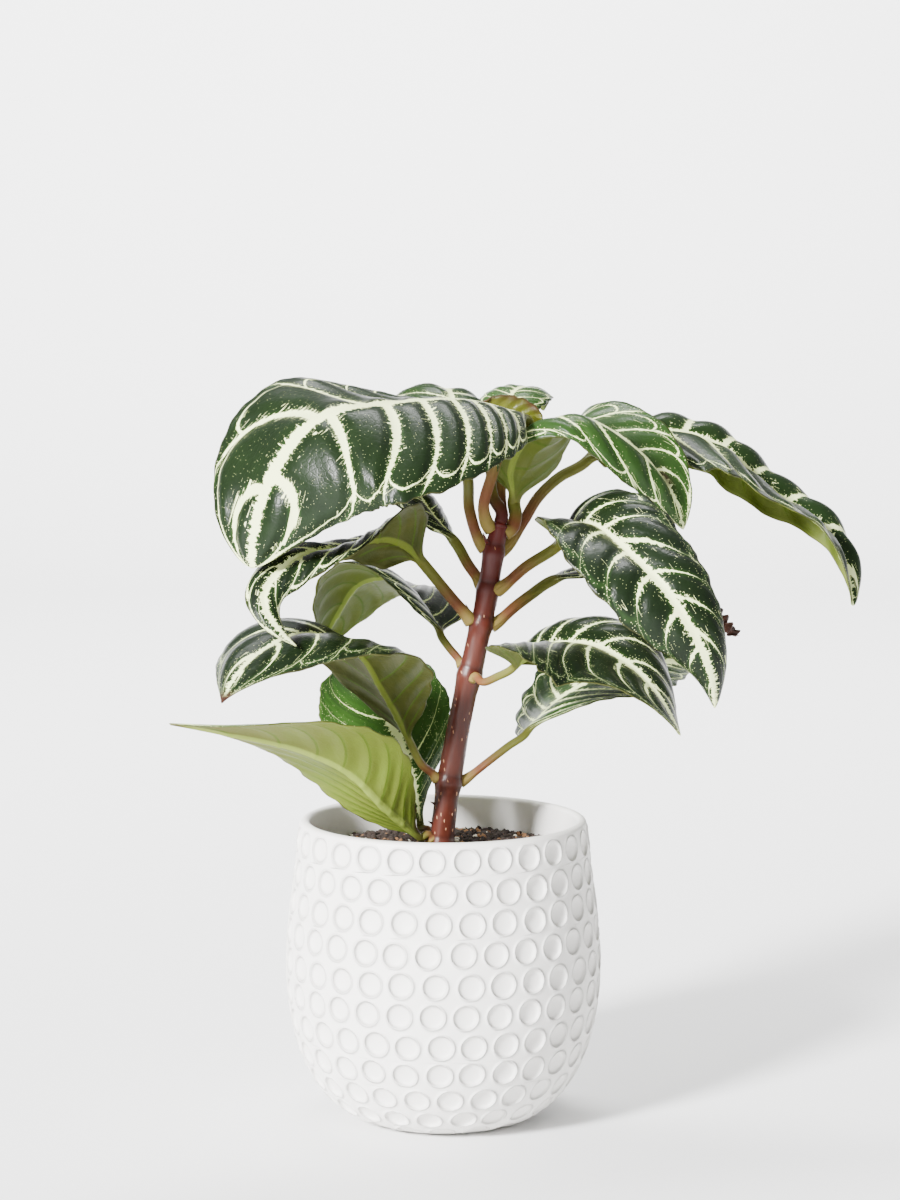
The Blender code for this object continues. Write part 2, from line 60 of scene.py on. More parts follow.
# %% Sockets that can be added and multiplied
class Reading:
    """The value of a socket at each point, which can be used in sums."""

    def __init__(self, bench, socket):
        self.bench, self.socket = bench, socket

    def __neg__(self):
        return self * -1.0

    def __abs__(self):
        return self.bench.sum("ABSOLUTE", self)


def sign_for(operation, swapped):
    """What a sign between a reading and something else does, on either side of the reading."""
    def act(reading, other):
        first, second = (other, reading) if swapped else (reading, other)
        return reading.bench.sum(operation, first, second)
    return act


for sign, operation in (("add", "ADD"), ("sub", "SUBTRACT"), ("mul", "MULTIPLY"),
                        ("truediv", "DIVIDE"), ("pow", "POWER")):
    setattr(Reading, f"__{sign}__", sign_for(operation, False))
    setattr(Reading, f"__r{sign}__", sign_for(operation, operation not in ("ADD", "MULTIPLY")))


class Bench:
    """One node tree and the ways to add to it."""

    def __init__(self, tree):
        self.tree = tree

    def node(self, kind, settings=None, **values):
        """A node; its sockets are told by name, or by number as i0, i1 and so on."""
        made = self.tree.nodes.new(kind)
        for key, value in (settings or {}).items():
            setattr(made, key, value)
        for key, value in values.items():
            numbered = key[0] == "i" and key[1:].isdigit()
            self.plug(made.inputs[int(key[1:]) if numbered else key.replace("_", " ")], value)
        return made

    def plug(self, socket, value):
        if isinstance(value, Reading):
            value = value.socket
        if isinstance(value, bpy.types.NodeSocket):
            self.tree.links.new(value, socket)
        else:
            socket.default_value = value

    def read(self, output, kind, settings=None, **values):
        """One output of a new node."""
        return Reading(self, self.node(kind, settings, **values).outputs[output])

    def sum(self, operation, first, second=0.0):
        return self.read(0, "ShaderNodeMath", {"operation": operation}, i0=first, i1=second)

    def larger(self, first, second):
        return self.sum("MAXIMUM", first, second)

    def smaller(self, first, second):
        return self.sum("MINIMUM", first, second)

    def ease(self, value, low, high):
        """0 below low, 1 above high, and a soft step between them."""
        return self.read("Result", "ShaderNodeMapRange", {"interpolation_type": "SMOOTHSTEP"},
                         Value=value, From_Min=low, From_Max=high)

    def tint(self, share, first, second):
        """From the first colour to the second, by a share."""
        return self.read(2, "ShaderNodeMix", {"data_type": "RGBA"}, i0=share, i6=first, i7=second)

    def layered(self, colour, *layers):
        """A colour with others laid over it, each by its share."""
        for share, over in layers:
            colour = self.tint(share, colour, over)
        return colour

    def bell(self, value, width):
        """1 where the value is 0, and falling off over the width to both sides."""
        return self.sum("EXPONENT", -((value / width) ** 2.0))

    def parts(self, vector):
        made = self.node("ShaderNodeSeparateXYZ", Vector=vector)
        return [Reading(self, made.outputs[k]) for k in range(3)]

    def point(self, x, y, z=0.0):
        return self.read(0, "ShaderNodeCombineXYZ", X=x, Y=y, Z=z)

    def noise(self, vector, scale, detail=3.0, roughness=0.5, flat=True):
        return self.read(0, "ShaderNodeTexNoise", {"noise_dimensions": "2D" if flat else "3D"},
                         Vector=vector, Scale=scale, Detail=detail, Roughness=roughness)


# %% A material with its nodes
class Finish(Bench):
    """A new material, with the nodes that feed its shader."""

    def __init__(self, name):
        self.material = bpy.data.materials.new(name)
        self.material.use_nodes = True
        super().__init__(self.material.node_tree)
        self.shader = self.tree.nodes["Principled BSDF"]

    def told(self, name, output="Fac"):
        """A number that the mesh keeps at each point, or three of them from the output Vector."""
        return self.read(output, "ShaderNodeAttribute", {"attribute_name": name})

    def spot(self):
        """The place on the object, in metres."""
        return self.read("Object", "ShaderNodeTexCoord")

    def feed(self, **values):
        for key, value in values.items():
            self.plug(self.shader.inputs[key.replace("_", " ")], value)

    def bump(self, strength, distance, height):
        """Fine relief that the light shows, though the mesh stays as it is."""
        made = self.node("ShaderNodeBump", Strength=strength, Distance=distance, Height=height)
        self.plug(self.shader.inputs["Normal"], made.outputs[0])


def rgb(red, green, blue):
    """A colour as a screen shows it, from 0 to 255, turned into light."""
    shares = [c / 255 for c in (red, green, blue)]
    return (*[c / 12.92 if c <= 0.04045 else ((c + 0.055) / 1.055) ** 2.4 for c in shares], 1.0)


def plain_finish(name, colour, roughness):
    """A material that is the same all over."""
    finish = Finish(name)
    finish.feed(Base_Color=colour, Roughness=roughness)
    return finish.material


print("a screen's middle grey as light:", round(rgb(128, 128, 128)[0], 3))

# %% [markdown]
# ## The ground for every piece
#
# A fine piece is built as arrays of points in millimetres, because a leaf is a sheet whose every point
# follows a rule. The helper below turns such arrays into a mesh and keeps what the finish needs to know
# about each point, such as its distance from a vein, as attributes of the mesh. Most pieces are lofts:
# rings of points, one after the other, closed at both ends on a point.

# %% Meshes from arrays
def unit(vectors):
    return vectors / np.maximum(np.linalg.norm(vectors, axis=-1, keepdims=True), 1e-12)


def ease(value, low, high):
    share = np.clip((value - low) / (high - low), 0, 1)
    return share * share * (3 - 2 * share)


def in_scene(name, data):
    """A new object at the origin of the scene."""
    thing = bpy.data.objects.new(name, data)
    bpy.context.scene.collection.objects.link(thing)
    return thing


def piece_from(name, points, faces, attributes):
    """A smooth mesh object from points in millimetres."""
    mesh = bpy.data.meshes.new(name)
    mesh.from_pydata((np.asarray(points) * MM).tolist(), [], [list(map(int, f)) for f in faces])
    for key, values in attributes.items():
        values = np.asarray(values, float)
        kind, field = ("FLOAT_VECTOR", "vector") if values.ndim == 2 else ("FLOAT", "value")
        mesh.attributes.new(key, kind, "POINT").data.foreach_set(field, values.ravel())
    mesh.update()
    mesh.shade_smooth()
    return in_scene(name, mesh)


def loft_faces(rings, around, closed=True):
    """Quads between rings of points. A closed loft ends on two more points, which come last."""
    turn = [(k, (k + 1) % around) for k in range(around)]
    faces = [(low + k, low + j, low + around + j, low + around + k)
             for low in range(0, (rings - 1) * around, around) for k, j in turn]
    end = rings * around
    for k, j in turn if closed else ():
        faces += [(end, j, k), (end + 1, end - around + k, end - around + j)]
    return faces


def facing_out(points, faces):
    """The faces, turned round if the closed shell would be inside out."""
    points = np.asarray(points)
    first = np.array([f[:3] for f in faces])
    a, b, c = points[first[:, 0]], points[first[:, 1]], points[first[:, 2]]
    if np.einsum("ij,ij->i", a, np.cross(b, c)).sum() < 0:
        return [f[::-1] for f in faces]
    return faces


print("faces of a closed loft of 3 rings of 4 points:", len(loft_faces(3, 4)))

# %% [markdown]
# ## Where each leaf grows
#
# Every leaf leaves the stem at a swollen joint, climbs on its stalk and then runs out along its midrib.
# Two smooth curves carry it. Nearly all numbers are those of the solid part, so that the finer leaf lies
# on the plain one. A few are nearer to the real plant: the bud, leaf_shrivelled_right's dry tip, a fold
# of leaf_twisted_left, leaf_upper_left's stalk and the thickness of the crown's stalks.
#
# `petiole` is the joint's height on the stem and the side it points to, `through` and `blade` are points
# of the stalk and the midrib. `width` is half the blade; its outline is a sine wave raised to the power
# `fullness`, and `belly` moves the widest place. `roll` turns the blade about its midrib at the base, the
# middle and the tip. `left` and `right` say how each half folds up at base and tip, and how it curls over
# at both.

# %% The leaves' own numbers, in millimetres and degrees
LEAF_COLUMNS = ("petiole", "through", "blade", "width", "belly", "fullness", "roll", "left", "right")
LEAVES = {
    "leaf_upper_left": (
        (242.5, -165), ((16.5, -4, 251), (19.5, -8, 265), (25, -12, 279)),
        ((34, -13, 288), (13, -33, 297), (-19, -50, 297),
         (-48, -59, 291), (-68, -62, 264), (-74, -61, 233)),
        52, 0.98, 0.70, (-9, 6, 33), (-28, -24, -41, -22), (-17, 11, 38, 3)),
    "leaf_upper_right": (
        (242.5, 10), ((29.5, 2.5, 248),),
        ((29, 4.5, 255), (38, -3.5, 274), (55, -9.5, 286), (73, -12, 280), (89, -13, 264), (97, -11, 244)),
        30, 0.76, 0.88, (39, -5, -36), (37, 39, 6, 43), (24, -13, -112, -104)),
    "leaf_far_right": (
        (234.5, 40), ((33, 10, 246), (39, 17, 255), (48, 24, 263)),
        ((59, 28, 269), (85, 38, 282), (115, 44, 276), (137, 44, 257), (162, 39, 238), (171, 28, 209)),
        40, 0.71, 0.58, (-5, -11, -21), (29, 73, -150, -208), (-16, 21, -12, 5)),
    "leaf_back_left": (
        (234.5, 165), ((11, 3, 250),),
        ((10, 14, 264), (6, 28, 284), (3, 48, 297), (-1, 70, 298), (-6, 92, 288), (-11, 108, 268)),
        25, 0.85, 0.9, (0, 0, 0), (10, 0, -70, -40), (10, 0, -70, -40)),
    "leaf_back_top": (
        (243, 80), ((23.5, 9, 257), (23.5, 10.5, 269)),
        ((23, 11, 280), (25, 18, 291), (29, 29, 298), (34, 42, 300), (39, 56, 297), (43, 66, 289)),
        15, 0.85, 0.9, (0, 0, 0), (15, 5, -60, -40), (15, 5, -60, -40)),
    "leaf_side_left": (
        (220, 140), ((10.5, 6, 228),),
        ((5, 11, 237), (-4, 20, 248), (-14, 36, 259), (-26, 54, 263), (-35, 70, 258), (-42, 84, 244)),
        16, 0.85, 0.9, (0, 0, 0), (10, 0, -50, -40), (10, 0, -50, -40)),
    "leaf_front_right": (
        (219, -25), ((33, -5, 228),),
        ((47, -8, 238), (58, -31, 248), (72, -54, 239), (86, -69, 225), (100, -72, 202), (106, -59, 178)),
        25, 0.70, 0.79, (-26, -12, -36), (75, 5, -88, -52), (43, -34, 16, -82)),
    "leaf_folded_left": (
        (204.5, -170), ((3, -2, 216), (-5, -4, 226)),
        ((-9, -6, 231), (-22, -22, 241), (-40, -39, 239),
         (-57, -52, 236), (-69, -65, 222), (-56, -73, 204)),
        20, 0.54, 0.94, (-35, 5, 33), (45, -18, 11, -85), (42, 27, -134, -32)),
    "leaf_shrivelled_right": (
        (204.5, 15), ((29, 3, 211), (36, 6, 216)),
        ((44, 10, 221), (60, 18, 226), (78, 26, 227), (95, 33, 222), (110, 38, 209), (124, 40, 195)),
        14, 0.85, 0.36, (0, 0, 0), (15, 5, -40, -40), (15, 5, -40, -40)),
    "leaf_twisted_left": (
        (186, 150), ((2.5, 6, 194),),
        ((-1, 8, 199), (-8, 16, 211), (-22, 25, 221), (-35, 32, 218), (-45, 39, 204), (-53, 45, 188)),
        30, 0.78, 0.69, (-24, -38, -8), (25, 6, -33, -41), (12, -13, 19, -16)),
    "leaf_lower_right": (
        (182.5, -70), ((16, -10, 182), (22, -12.5, 184.5)),
        ((28, -14, 188), (42, -20, 198), (60, -28, 199), (74, -36, 192), (85, -46, 181), (93, -57, 167)),
        47, 0.54, 0.98, (-5, -21, 20), (52, -5, -163, -10), (32, -9, -16, -6)),
    "leaf_brown_tip_left": (
        (139.5, -165), ((-8.5, -5, 147),),
        ((-13, -8, 156), (-24, -19, 179), (-36, -33, 199),
         (-55, -48, 206), (-73, -67, 199), (-84, -88, 184)),
        39, 0.95, 1.17, (-8, 8, 4), (27, -1, -12, -34), (34, 4, -61, -44)),
    "leaf_low_right": (
        (139.5, 10), ((18.5, 1, 147.5), (27, 1.5, 154)),
        ((34, 2, 159), (46, 16, 170), (61, 30, 177), (75, 42, 181), (91, 56, 182), (107, 70, 178)),
        29, 0.69, 0.70, (29, -6, -28), (-23, 25, 8, 4), (-5, 3, 0, -3)),
    "leaf_low_back": (
        (115.5, 140), (),
        ((-9.5, 9.5, 119.5), (-11.5, 8.5, 135), (-17, 14, 152),
         (-24, 27, 163), (-32, 43, 172), (-40, 60, 179)),
        28, 1.37, 0.85, (-24, -13, -18), (35, -22, 60, 7), (13, -39, -22, -40)),
    "leaf_lowest_left": (
        (115.5, -150), (),
        ((-9.5, -5, 117), (-23, -19, 131), (-38, -32, 148),
         (-57, -43, 159), (-81, -52, 166), (-107, -58, 172)),
        27, 1.02, 0.93, (-29, -7, 1), (37, 25, 20, -63), (15, 23, -24, -25)),
    "bud_leaf": (
        (245, None), ((20.5, 2, 256), (19, 2.5, 267), (15.5, 0, 279)),
        ((13.5, -3, 283), (16, -4, 287.5), (21.5, -4.5, 290),
         (28, -5, 290.5), (35, -5.5, 289.5), (40.5, -6, 287)),
        8, 0.85, 0.6, (0, 0, 0), (95, 95, 40, 30), (-50, -50, -30, -30)),
}
LEAVES = {name: dict(zip(LEAF_COLUMNS, row)) for name, row in LEAVES.items()}
STEM_LINE = (
    (-4.4, 0, 80, 4.9), (-2.8, 0, 96, 4.9), (-1.4, 0, 108, 5.0), (-1.0, 0, 113, 5.4),
    (-0.4, 0, 118, 5.0), (1.4, 0, 133, 4.9), (2.2, 0, 139, 5.6), (3.2, 0, 144, 5.0),
    (6.0, 0, 160, 4.7), (9.0, 0, 176, 4.7), (10.6, 0, 183, 5.3), (12.2, 0, 189, 4.7),
    (14.6, 0, 200, 4.6), (15.6, 0, 204.5, 5.0), (16.6, 0, 209, 4.4), (18.3, 0, 218.5, 4.7),
    (19.3, 0, 225, 4.2), (20.5, 0, 233.5, 4.5), (21.6, 0, 239, 3.8), (23.0, 0, 245, 3.6),
)
STEM_TIP_ROUNDING = 1.0
BUD_GAP = 0.3
JOINT_LENGTH = 3.0
JOINT_RISE = 0.9
JOINT_SINK = 0.8
CROWN_HEIGHT = 190
STALK_RADII = {"crown": (2.3, 3.0), "lower": (1.65, 2.4)}
crown = [name for name, leaf in LEAVES.items() if leaf["petiole"][0] > CROWN_HEIGHT]
print("leaves:", len(LEAVES), "in the crown:", len(crown))

# %% [markdown]
# ### How each leaf looks
#
# No two leaves are marked alike. Young ones are bright green with thin veins, old ones nearly black with
# broad ones. What a leaf doesn't say for itself is taken from the usual look.
#
# - `youth`: 0 is nearly black, 1 bright green, and more is the bud; `tan` darkens the underside
# - `rib` and `vein`: widths of the cream; `tail`: the share of it at a vein's end; `loops`: the width of
#   the arcs that join the veins near the margin; `shift` moves the midrib's cream off the fold
# - `starts`: where on the midrib the side veins begin, in hundredths of it, on the left and the right;
#   `sweep`: by how many veins they lean to the tip at the margin, and how late they do
# - `puff`: height of the quilting; `scallop`: depth of the margin's waves; `ragged`: height of the
#   crumple, past the share `ragged_from`; `turned`: the underside is up
# - `stalk`: radii of stalk and joint where they aren't the usual; `joint`: the swollen share of the stalk
# - `dry` and `rim`: the share and the place across past which the blade is brown; `spots`: brown spots,
#   each with its share, its place across and its size

# %% Age, widths of the cream in millimetres, veins, and dry spots
USUAL_STARTS = ((8, 16, 25, 35, 46, 58, 71, 85), (11, 20, 30, 40, 52, 65, 79, 91))
USUAL = dict(youth=0.03, rib=1.4, vein=0.8, tail=0.3, loops=0.3, puff=1.1, tan=0.3, scallop=0.025,
             starts=USUAL_STARTS, sweep=((1.5, 1.7), (1.5, 1.7)), shift=0.0, turned=False, dry=1.1,
             rim=1.2, ragged=0.0, ragged_from=0.75, stalk=None, joint=0.25, spots=())
LOOKS = {
    "leaf_upper_left": dict(
        youth=0.05, rib=3.4, vein=1.7, tail=0.5, loops=0.45, puff=2.0, scallop=0.008,
        sweep=((1.1, 2.6), (1.1, 2.2)),
        starts=((9, 15, 20, 26, 34, 43, 57, 77), (10, 17, 24, 31, 38, 48, 60, 81))),
    "leaf_upper_right": dict(
        youth=0.38, stalk=(2.7, 3.1), rib=1.9, vein=0.9, tail=0.5, loops=0.25, puff=1.4, shift=0.36,
        sweep=((1.7, 1.8), (1.4, 1.8)), spots=((0.80, -0.08, 2.2),),
        starts=((12, 24, 36, 50, 64, 75, 88), (8, 20, 36, 48, 69, 86))),
    "leaf_far_right": dict(
        youth=0.12, tan=0.0, rib=1.5, vein=1.25, tail=0.2, loops=0.2, puff=2.0, scallop=0.07,
        sweep=((1.4, 1.5), (1.1, 1.5)),
        starts=((10, 20, 31, 42, 53, 65, 77, 89), (12, 25, 37, 48, 62, 74, 86))),
    "leaf_back_left": dict(youth=0.2, rib=1.5, vein=0.9, loops=0.4, puff=1.8),
    "leaf_back_top": dict(youth=0.5, rib=1.1, vein=0.6, puff=1.3),
    "leaf_side_left": dict(rib=1.0, vein=0.6),
    "leaf_front_right": dict(
        youth=0.02, rib=1.8, vein=1.15, tail=0.0, loops=0.0, sweep=((1.5, 1.1), (1.1, 2.0)),
        starts=((10, 18, 28, 36, 52, 61, 72, 86), (12, 21, 30, 42, 53, 66, 78, 90))),
    "leaf_folded_left": dict(youth=0.0, rib=1.7, vein=1.1, puff=1.5, tan=0.9),
    "leaf_shrivelled_right": dict(rib=1.0, vein=0.7, dry=0.8, ragged=3.0, ragged_from=0.7),
    "leaf_twisted_left": dict(youth=0.15, rib=0.9, vein=0.6, tail=0.6, tan=0.1),
    "leaf_lower_right": dict(
        stalk=(1.7, 1.9), joint=0.1, rib=1.8, vein=0.9, tail=0.1, loops=0.1,
        sweep=((2.0, 1.1), (2.1, 1.6)),
        starts=((7, 14, 21, 30, 43, 57, 72, 86), (10, 18, 26, 33, 40, 56, 72, 86))),
    "leaf_brown_tip_left": dict(
        youth=0.02, vein=0.85, tail=0.1, loops=0.1, tan=0.9, dry=0.94,
        sweep=((2.0, 1.6), (1.6, 1.5)),
        starts=((8, 16, 25, 35, 45, 56, 70, 86), (10, 20, 30, 40, 50, 60, 78))),
    "leaf_low_right": dict(youth=0.32, rib=2.2, vein=1.3, scallop=0.05, sweep=((2.0, 1.2), (2.0, 1.2))),
    "leaf_low_back": dict(
        youth=0.75, rib=1.6, vein=0.8, tail=0.1, loops=0.0, puff=0.8, turned=True,
        sweep=((2.2, 1.7), (2.1, 1.2)),
        starts=((7, 13, 20, 30, 43, 58, 75), (10, 20, 30, 40, 54, 70, 86))),
    "leaf_lowest_left": dict(
        youth=0.75, puff=1.2, tan=0.0, spots=((0.05, -0.9, 2.0), (0.1, -1.0, 1.6), (0.98, 0.0, 2.5)),
        sweep=((2.2, 1.6), (4.0, 1.1)),
        starts=((5, 10, 17, 23, 32, 42, 52, 65, 80), (6, 12, 19, 26, 35, 45, 56, 70))),
    "bud_leaf": dict(
        stalk=(1.4, 2.7), joint=0.9, youth=1.3, rib=0.1, vein=0.05, loops=0.0, puff=0.45, tan=0.0,
        rim=0.86, ragged=1.3, ragged_from=0.1,
        spots=((0.25, -0.9, 1.6), (0.55, -1.0, 2.2), (0.8, -0.8, 1.6))),
}
LOOKS = {name: {**USUAL, **look} for name, look in LOOKS.items()}
print("side veins in all:", sum(len(side) for look in LOOKS.values() for side in look["starts"]))


# %% [markdown]
# ### Curves with a frame
#
# A stalk and a midrib are smooth curves through a few points. Which way is up is carried along from
# point to point, so a leaf never twists by itself, and its own roll comes on top.

# %% Smooth curves and the frame that rides on them
MIDRIB_POINTS = 200
STALK_POINTS = 60
FRAME_WINDOW = 0.3
LEAN_REACH = 4


def smooth_line(points, count, first=None, last=None):
    """Evenly spaced points on a smooth curve through the given points, and its length."""
    knots = np.array(points, float)
    steps = np.linalg.norm(np.diff(knots[:, :3], axis=0), axis=1)
    at = np.concatenate(([0.0], np.cumsum(steps)))
    slopes = np.gradient(knots, at, axis=0, edge_order=2)
    if first is not None:
        slopes[0] = first
    if last is not None:
        slopes[-1] = last
    fine = np.linspace(0, at[-1], 12 * count)
    i = np.clip(np.searchsorted(at, fine, side="right") - 1, 0, len(steps) - 1)
    h = steps[i][:, None]
    u = (fine[:, None] - at[i][:, None]) / h
    dense = ((2 * u**3 - 3 * u**2 + 1) * knots[i] + (u**3 - 2 * u**2 + u) * h * slopes[i]
             + (3 * u**2 - 2 * u**3) * knots[i + 1] + (u**3 - u**2) * h * slopes[i + 1])
    run = np.concatenate(([0.0], np.cumsum(np.linalg.norm(np.diff(dense[:, :3], axis=0), axis=1))))
    even = np.linspace(0, run[-1], count)
    return np.stack([np.interp(even, run, column) for column in dense.T], axis=1), run[-1]


def along(table, share):
    """Rows of an evenly spaced table at shares of its length."""
    at = np.linspace(0, 1, len(table))
    return np.stack([np.interp(share, at, column) for column in np.asarray(table).T], axis=-1)


def headings(line):
    return unit(np.gradient(line, axis=0))


def evened(heading):
    """Directions along a line, averaged over a stretch of it, so that a sharp bend turns gently."""
    reach = int(FRAME_WINDOW * len(heading) / 2)
    padded = np.concatenate((np.repeat(heading[:1], reach, 0), heading, np.repeat(heading[-1:], reach, 0)))
    weights = np.hanning(2 * reach + 3)[1:-1]
    weights /= weights.sum()
    return unit(np.stack([np.convolve(padded[:, k], weights, "valid") for k in range(3)], axis=1))


def carried(heading, up):
    """An upward direction carried along without twisting."""
    ups = []
    for direction in heading:
        up = unit(up - direction * (up @ direction))
        ups.append(up)
    return np.array(ups)


class LeafPath:
    """A leaf's stalk and midrib, with sideways and upward directions along both."""

    def __init__(self, leaf):
        self.line, self.length = smooth_line(leaf["blade"], MIDRIB_POINTS)
        heading = evened(headings(self.line))
        up = carried(heading, np.array((0.0, 0.0, 1.0)))
        side = np.cross(heading, up)
        roll = np.radians(np.interp(np.linspace(0, 1, len(heading)), (0, 0.5, 1), leaf["roll"]))[:, None]
        self.side = np.cos(roll) * side + np.sin(roll) * up
        self.up = np.cos(roll) * up - np.sin(roll) * side
        foot, out = self.foot(leaf)
        knots = (foot, foot + JOINT_LENGTH * out, *leaf["through"], leaf["blade"][0])
        self.stalk, self.stalk_length = smooth_line(knots, STALK_POINTS, out, heading[0])
        heading = headings(self.stalk)
        self.stalk_up = carried(heading[::-1], self.up[0])[::-1]
        self.stalk_side = np.cross(heading, self.stalk_up)

    def foot(self, leaf):
        """Where the stalk leaves the stem, and its direction there."""
        height, heading = leaf["petiole"]
        stem = np.array(STEM_LINE, float)
        below, here, above = (np.array([np.interp(z, stem[:, 2], column) for column in stem.T])
                              for z in (height - LEAN_REACH, height, height + LEAN_REACH))
        axis = unit(above[:3] - below[:3])
        if heading is None:
            return stem[-1, :3] + (STEM_TIP_ROUNDING + BUD_GAP) * axis, axis
        out = np.array((math.cos(math.radians(heading)), math.sin(math.radians(heading)), 0.0))
        out = unit(out - axis * (out @ axis))
        return here[:3] + out * (here[3] - JOINT_SINK), unit(out + JOINT_RISE * axis)


print("longest midrib:", round(max(LeafPath(leaf).length for leaf in LEAVES.values())), "mm")

# %% [markdown]
# ## Veins by a rule
#
# Side veins leave the midrib almost square, then sweep towards the tip. A number that grows by one from
# each vein to the next, its phase, says it all: a vein runs wherever the phase is whole. The blade
# between veins is puffed up like a quilt. The same phase drives the shape here and the cream paint of
# the finish, so colour and relief can't drift apart.

# %% Phase, quilting and outline
THINNEST_HALF = 0.5
VEIN_VALLEY = 4.0
RIB_VALLEY = 4.5


def bell(value, width):
    """1 where the value is 0, and falling off over the width to both sides."""
    return np.exp(-((value / width) ** 2))


def vein_phase(look, length, half_width, share, across):
    """The veins' phase, and how many millimetres one whole step of it spans."""
    a = np.abs(across)
    right = np.broadcast_to(across > 0, np.broadcast_shapes(np.shape(share), np.shape(across)))
    phase, slope, lean = 0.0, 0.0, 0.0
    for hand, chosen in ((0, ~right), (1, right)):
        starts = np.array(look["starts"][hand]) / 100
        reach, power = look["sweep"][hand]
        before = 2 * starts[:1] - starts[1:2]
        knots = np.concatenate((before - 0.3, before, starts, (1.15, 1.5)))
        numbers = np.arange(len(knots)) - 2.0
        gap = np.interp(share, (knots[1:] + knots[:-1]) / 2, np.diff(knots))
        phase = phase + chosen * (np.interp(share, knots, numbers) - reach * a**power)
        slope = slope + chosen / gap
        lean = lean + chosen * reach * power * a ** (power - 1)
    return phase, 1 / np.sqrt((slope / length) ** 2 + (lean / np.maximum(half_width, 3)) ** 2)


def vein_distance(phase, span):
    return np.abs(phase - np.round(phase)) * span


def off_rib(look, share, across):
    """Places across, counted from where the cream midrib runs, which can lie off the fold."""
    middle = look["shift"] * (1 - ease(share, 0.55, 0.85))
    return np.where(across > middle, (across - middle) / (1 - middle), (across - middle) / (1 + middle))


def outline(leaf, share):
    """Half the width of the blade at a share of its midrib."""
    swell = np.sin(np.pi * np.clip(share, 0, 1) ** leaf["belly"])
    return np.maximum(leaf["width"] * np.clip(swell, 0, 1) ** leaf["fullness"], THINNEST_HALF)


def quilt(look, phase, span, across, half_width):
    """Height of the puffed blade: none on the veins and at the margin, most in between."""
    rib = np.abs(across) * half_width
    margin = (1 - np.abs(across)) * half_width
    puff = (1 - bell(vein_distance(phase, span), VEIN_VALLEY)) * (1 - bell(rib, RIB_VALLEY))
    return look["puff"] * puff * ease(margin, 0, 8) * ease(half_width, 2, 14)


halves = [outline(leaf, np.linspace(0, 1, 99)).max() for leaf in LEAVES.values()]
print("widest leaf:", round(2 * max(halves)), "mm")

# %% [markdown]
# ### The blade
#
# Each half of the blade is an arc in cross section: it folds up or down from the midrib and curls over.
# On top come the margin's waves, the quilting and, on a dry tip and on the bud, a crumple. The midrib is
# a groove above and a thick ridge below, the side veins are thin ridges below. All this is real shape,
# as it shows against the light.

# %% The blade's two sides
STEP_ALONG = 1.2
STEP_ACROSS = 1.35
BLADE_THICKNESS = 0.5
RIB_WIDTH, RIB_HEIGHT, RIB_GROOVE = 1.5, 1.5, 0.25
RIDGE_WIDTH, RIDGE_HEIGHT = 0.8, 0.35


def blade_middle(leaf, look, path, share, across):
    """The blade's middle surface on a grid of shares and places across."""
    s = share[:, None]
    u = across[None, :]
    hand = np.where(u < 0, -1.0, 1.0)
    a = np.abs(u)
    bends = [np.where(u < 0, left, right) for left, right in zip(leaf["left"], leaf["right"])]
    fold, curl = (np.radians(base + (tip - base) * s) for base, tip in (bends[:2], bends[2:]))
    curl = np.where(np.abs(curl) < 0.001, 0.001, curl)
    reach = (np.sin(fold + curl * a) - np.sin(fold)) / curl
    rise = (np.cos(fold) - np.cos(fold + curl * a)) / curl
    half = outline(leaf, share)[:, None]
    phase, _ = vein_phase(look, path.length, half, s, off_rib(look, s, u))
    scallop = 1 + look["scallop"] * np.cos(TURN * (phase + 0.5)) * ease(a, 0.6, 1.0)
    unrest = 0.010 * np.sin(61 * s + 9 * u) + 0.007 * np.sin(143 * s + 5 * u)
    scallop = scallop + unrest * ease(a, 0.6, 1.0)
    half = half * np.where(half > 3, scallop, 1.0)
    line, side, up = (along(table, share)[:, None, :] for table in (path.line, path.side, path.up))
    return line + half[..., None] * ((hand * reach)[..., None] * side + rise[..., None] * up)


def crumple(look, path, share, across, half):
    """How far a dry or closed part of the blade is pushed out of its surface."""
    run = share[:, None] * path.length
    waves = np.sin(0.8 * across[None, :] * half + 0.5 * run) * np.sin(run * 0.75 + across[None, :] * 3)
    return look["ragged"] * (waves * ease(share, look["ragged_from"], look["ragged_from"] + 0.15)[:, None])


def blade_sides(leaf, look, path, share, across):
    """The blade's upper side and its underside, as two grids of points."""
    half = outline(leaf, share)[:, None]
    surface = blade_middle(leaf, look, path, share, across)
    normal = unit(np.cross(np.gradient(surface, axis=1), np.gradient(surface, axis=0)))
    if look["turned"]:
        normal = -normal
    marked = off_rib(look, share[:, None], across[None, :])
    phase, span = vein_phase(look, path.length, half, share[:, None], marked)
    surface = surface + normal * quilt(look, phase, span, marked, half)[..., None]
    surface = surface + normal * crumple(look, path, share, across, half)[..., None]
    a = np.abs(marked)
    rib = bell(a * half, RIB_WIDTH) * (RIB_HEIGHT * (1 - 0.75 * share[:, None]))
    ridge = RIDGE_HEIGHT * bell(vein_distance(phase, span), RIDGE_WIDTH) * (1 - a) * ease(half, 3, 10)
    groove = RIB_GROOVE * rib[..., None] * ease(share, 0.05, 0.2)[:, None, None]
    top = surface + normal * (BLADE_THICKNESS / 2 - groove)
    low = surface - normal * (BLADE_THICKNESS / 2 + rib + ridge)[..., None]
    return top, low


# %% [markdown]
# ### One leaf as one skin
#
# A leaf is a tube that opens into a sheet: round rings on the stalk, then rings that flatten into the
# blade's top and underside. Building it as one loft keeps the joint between stalk and midrib smooth.
# The rings lie about a millimetre apart, which is enough for the quilting; the torn edges of the
# veins are finer than that and are left to the finish.

# %% The loft
OPENED_BY = 0.10


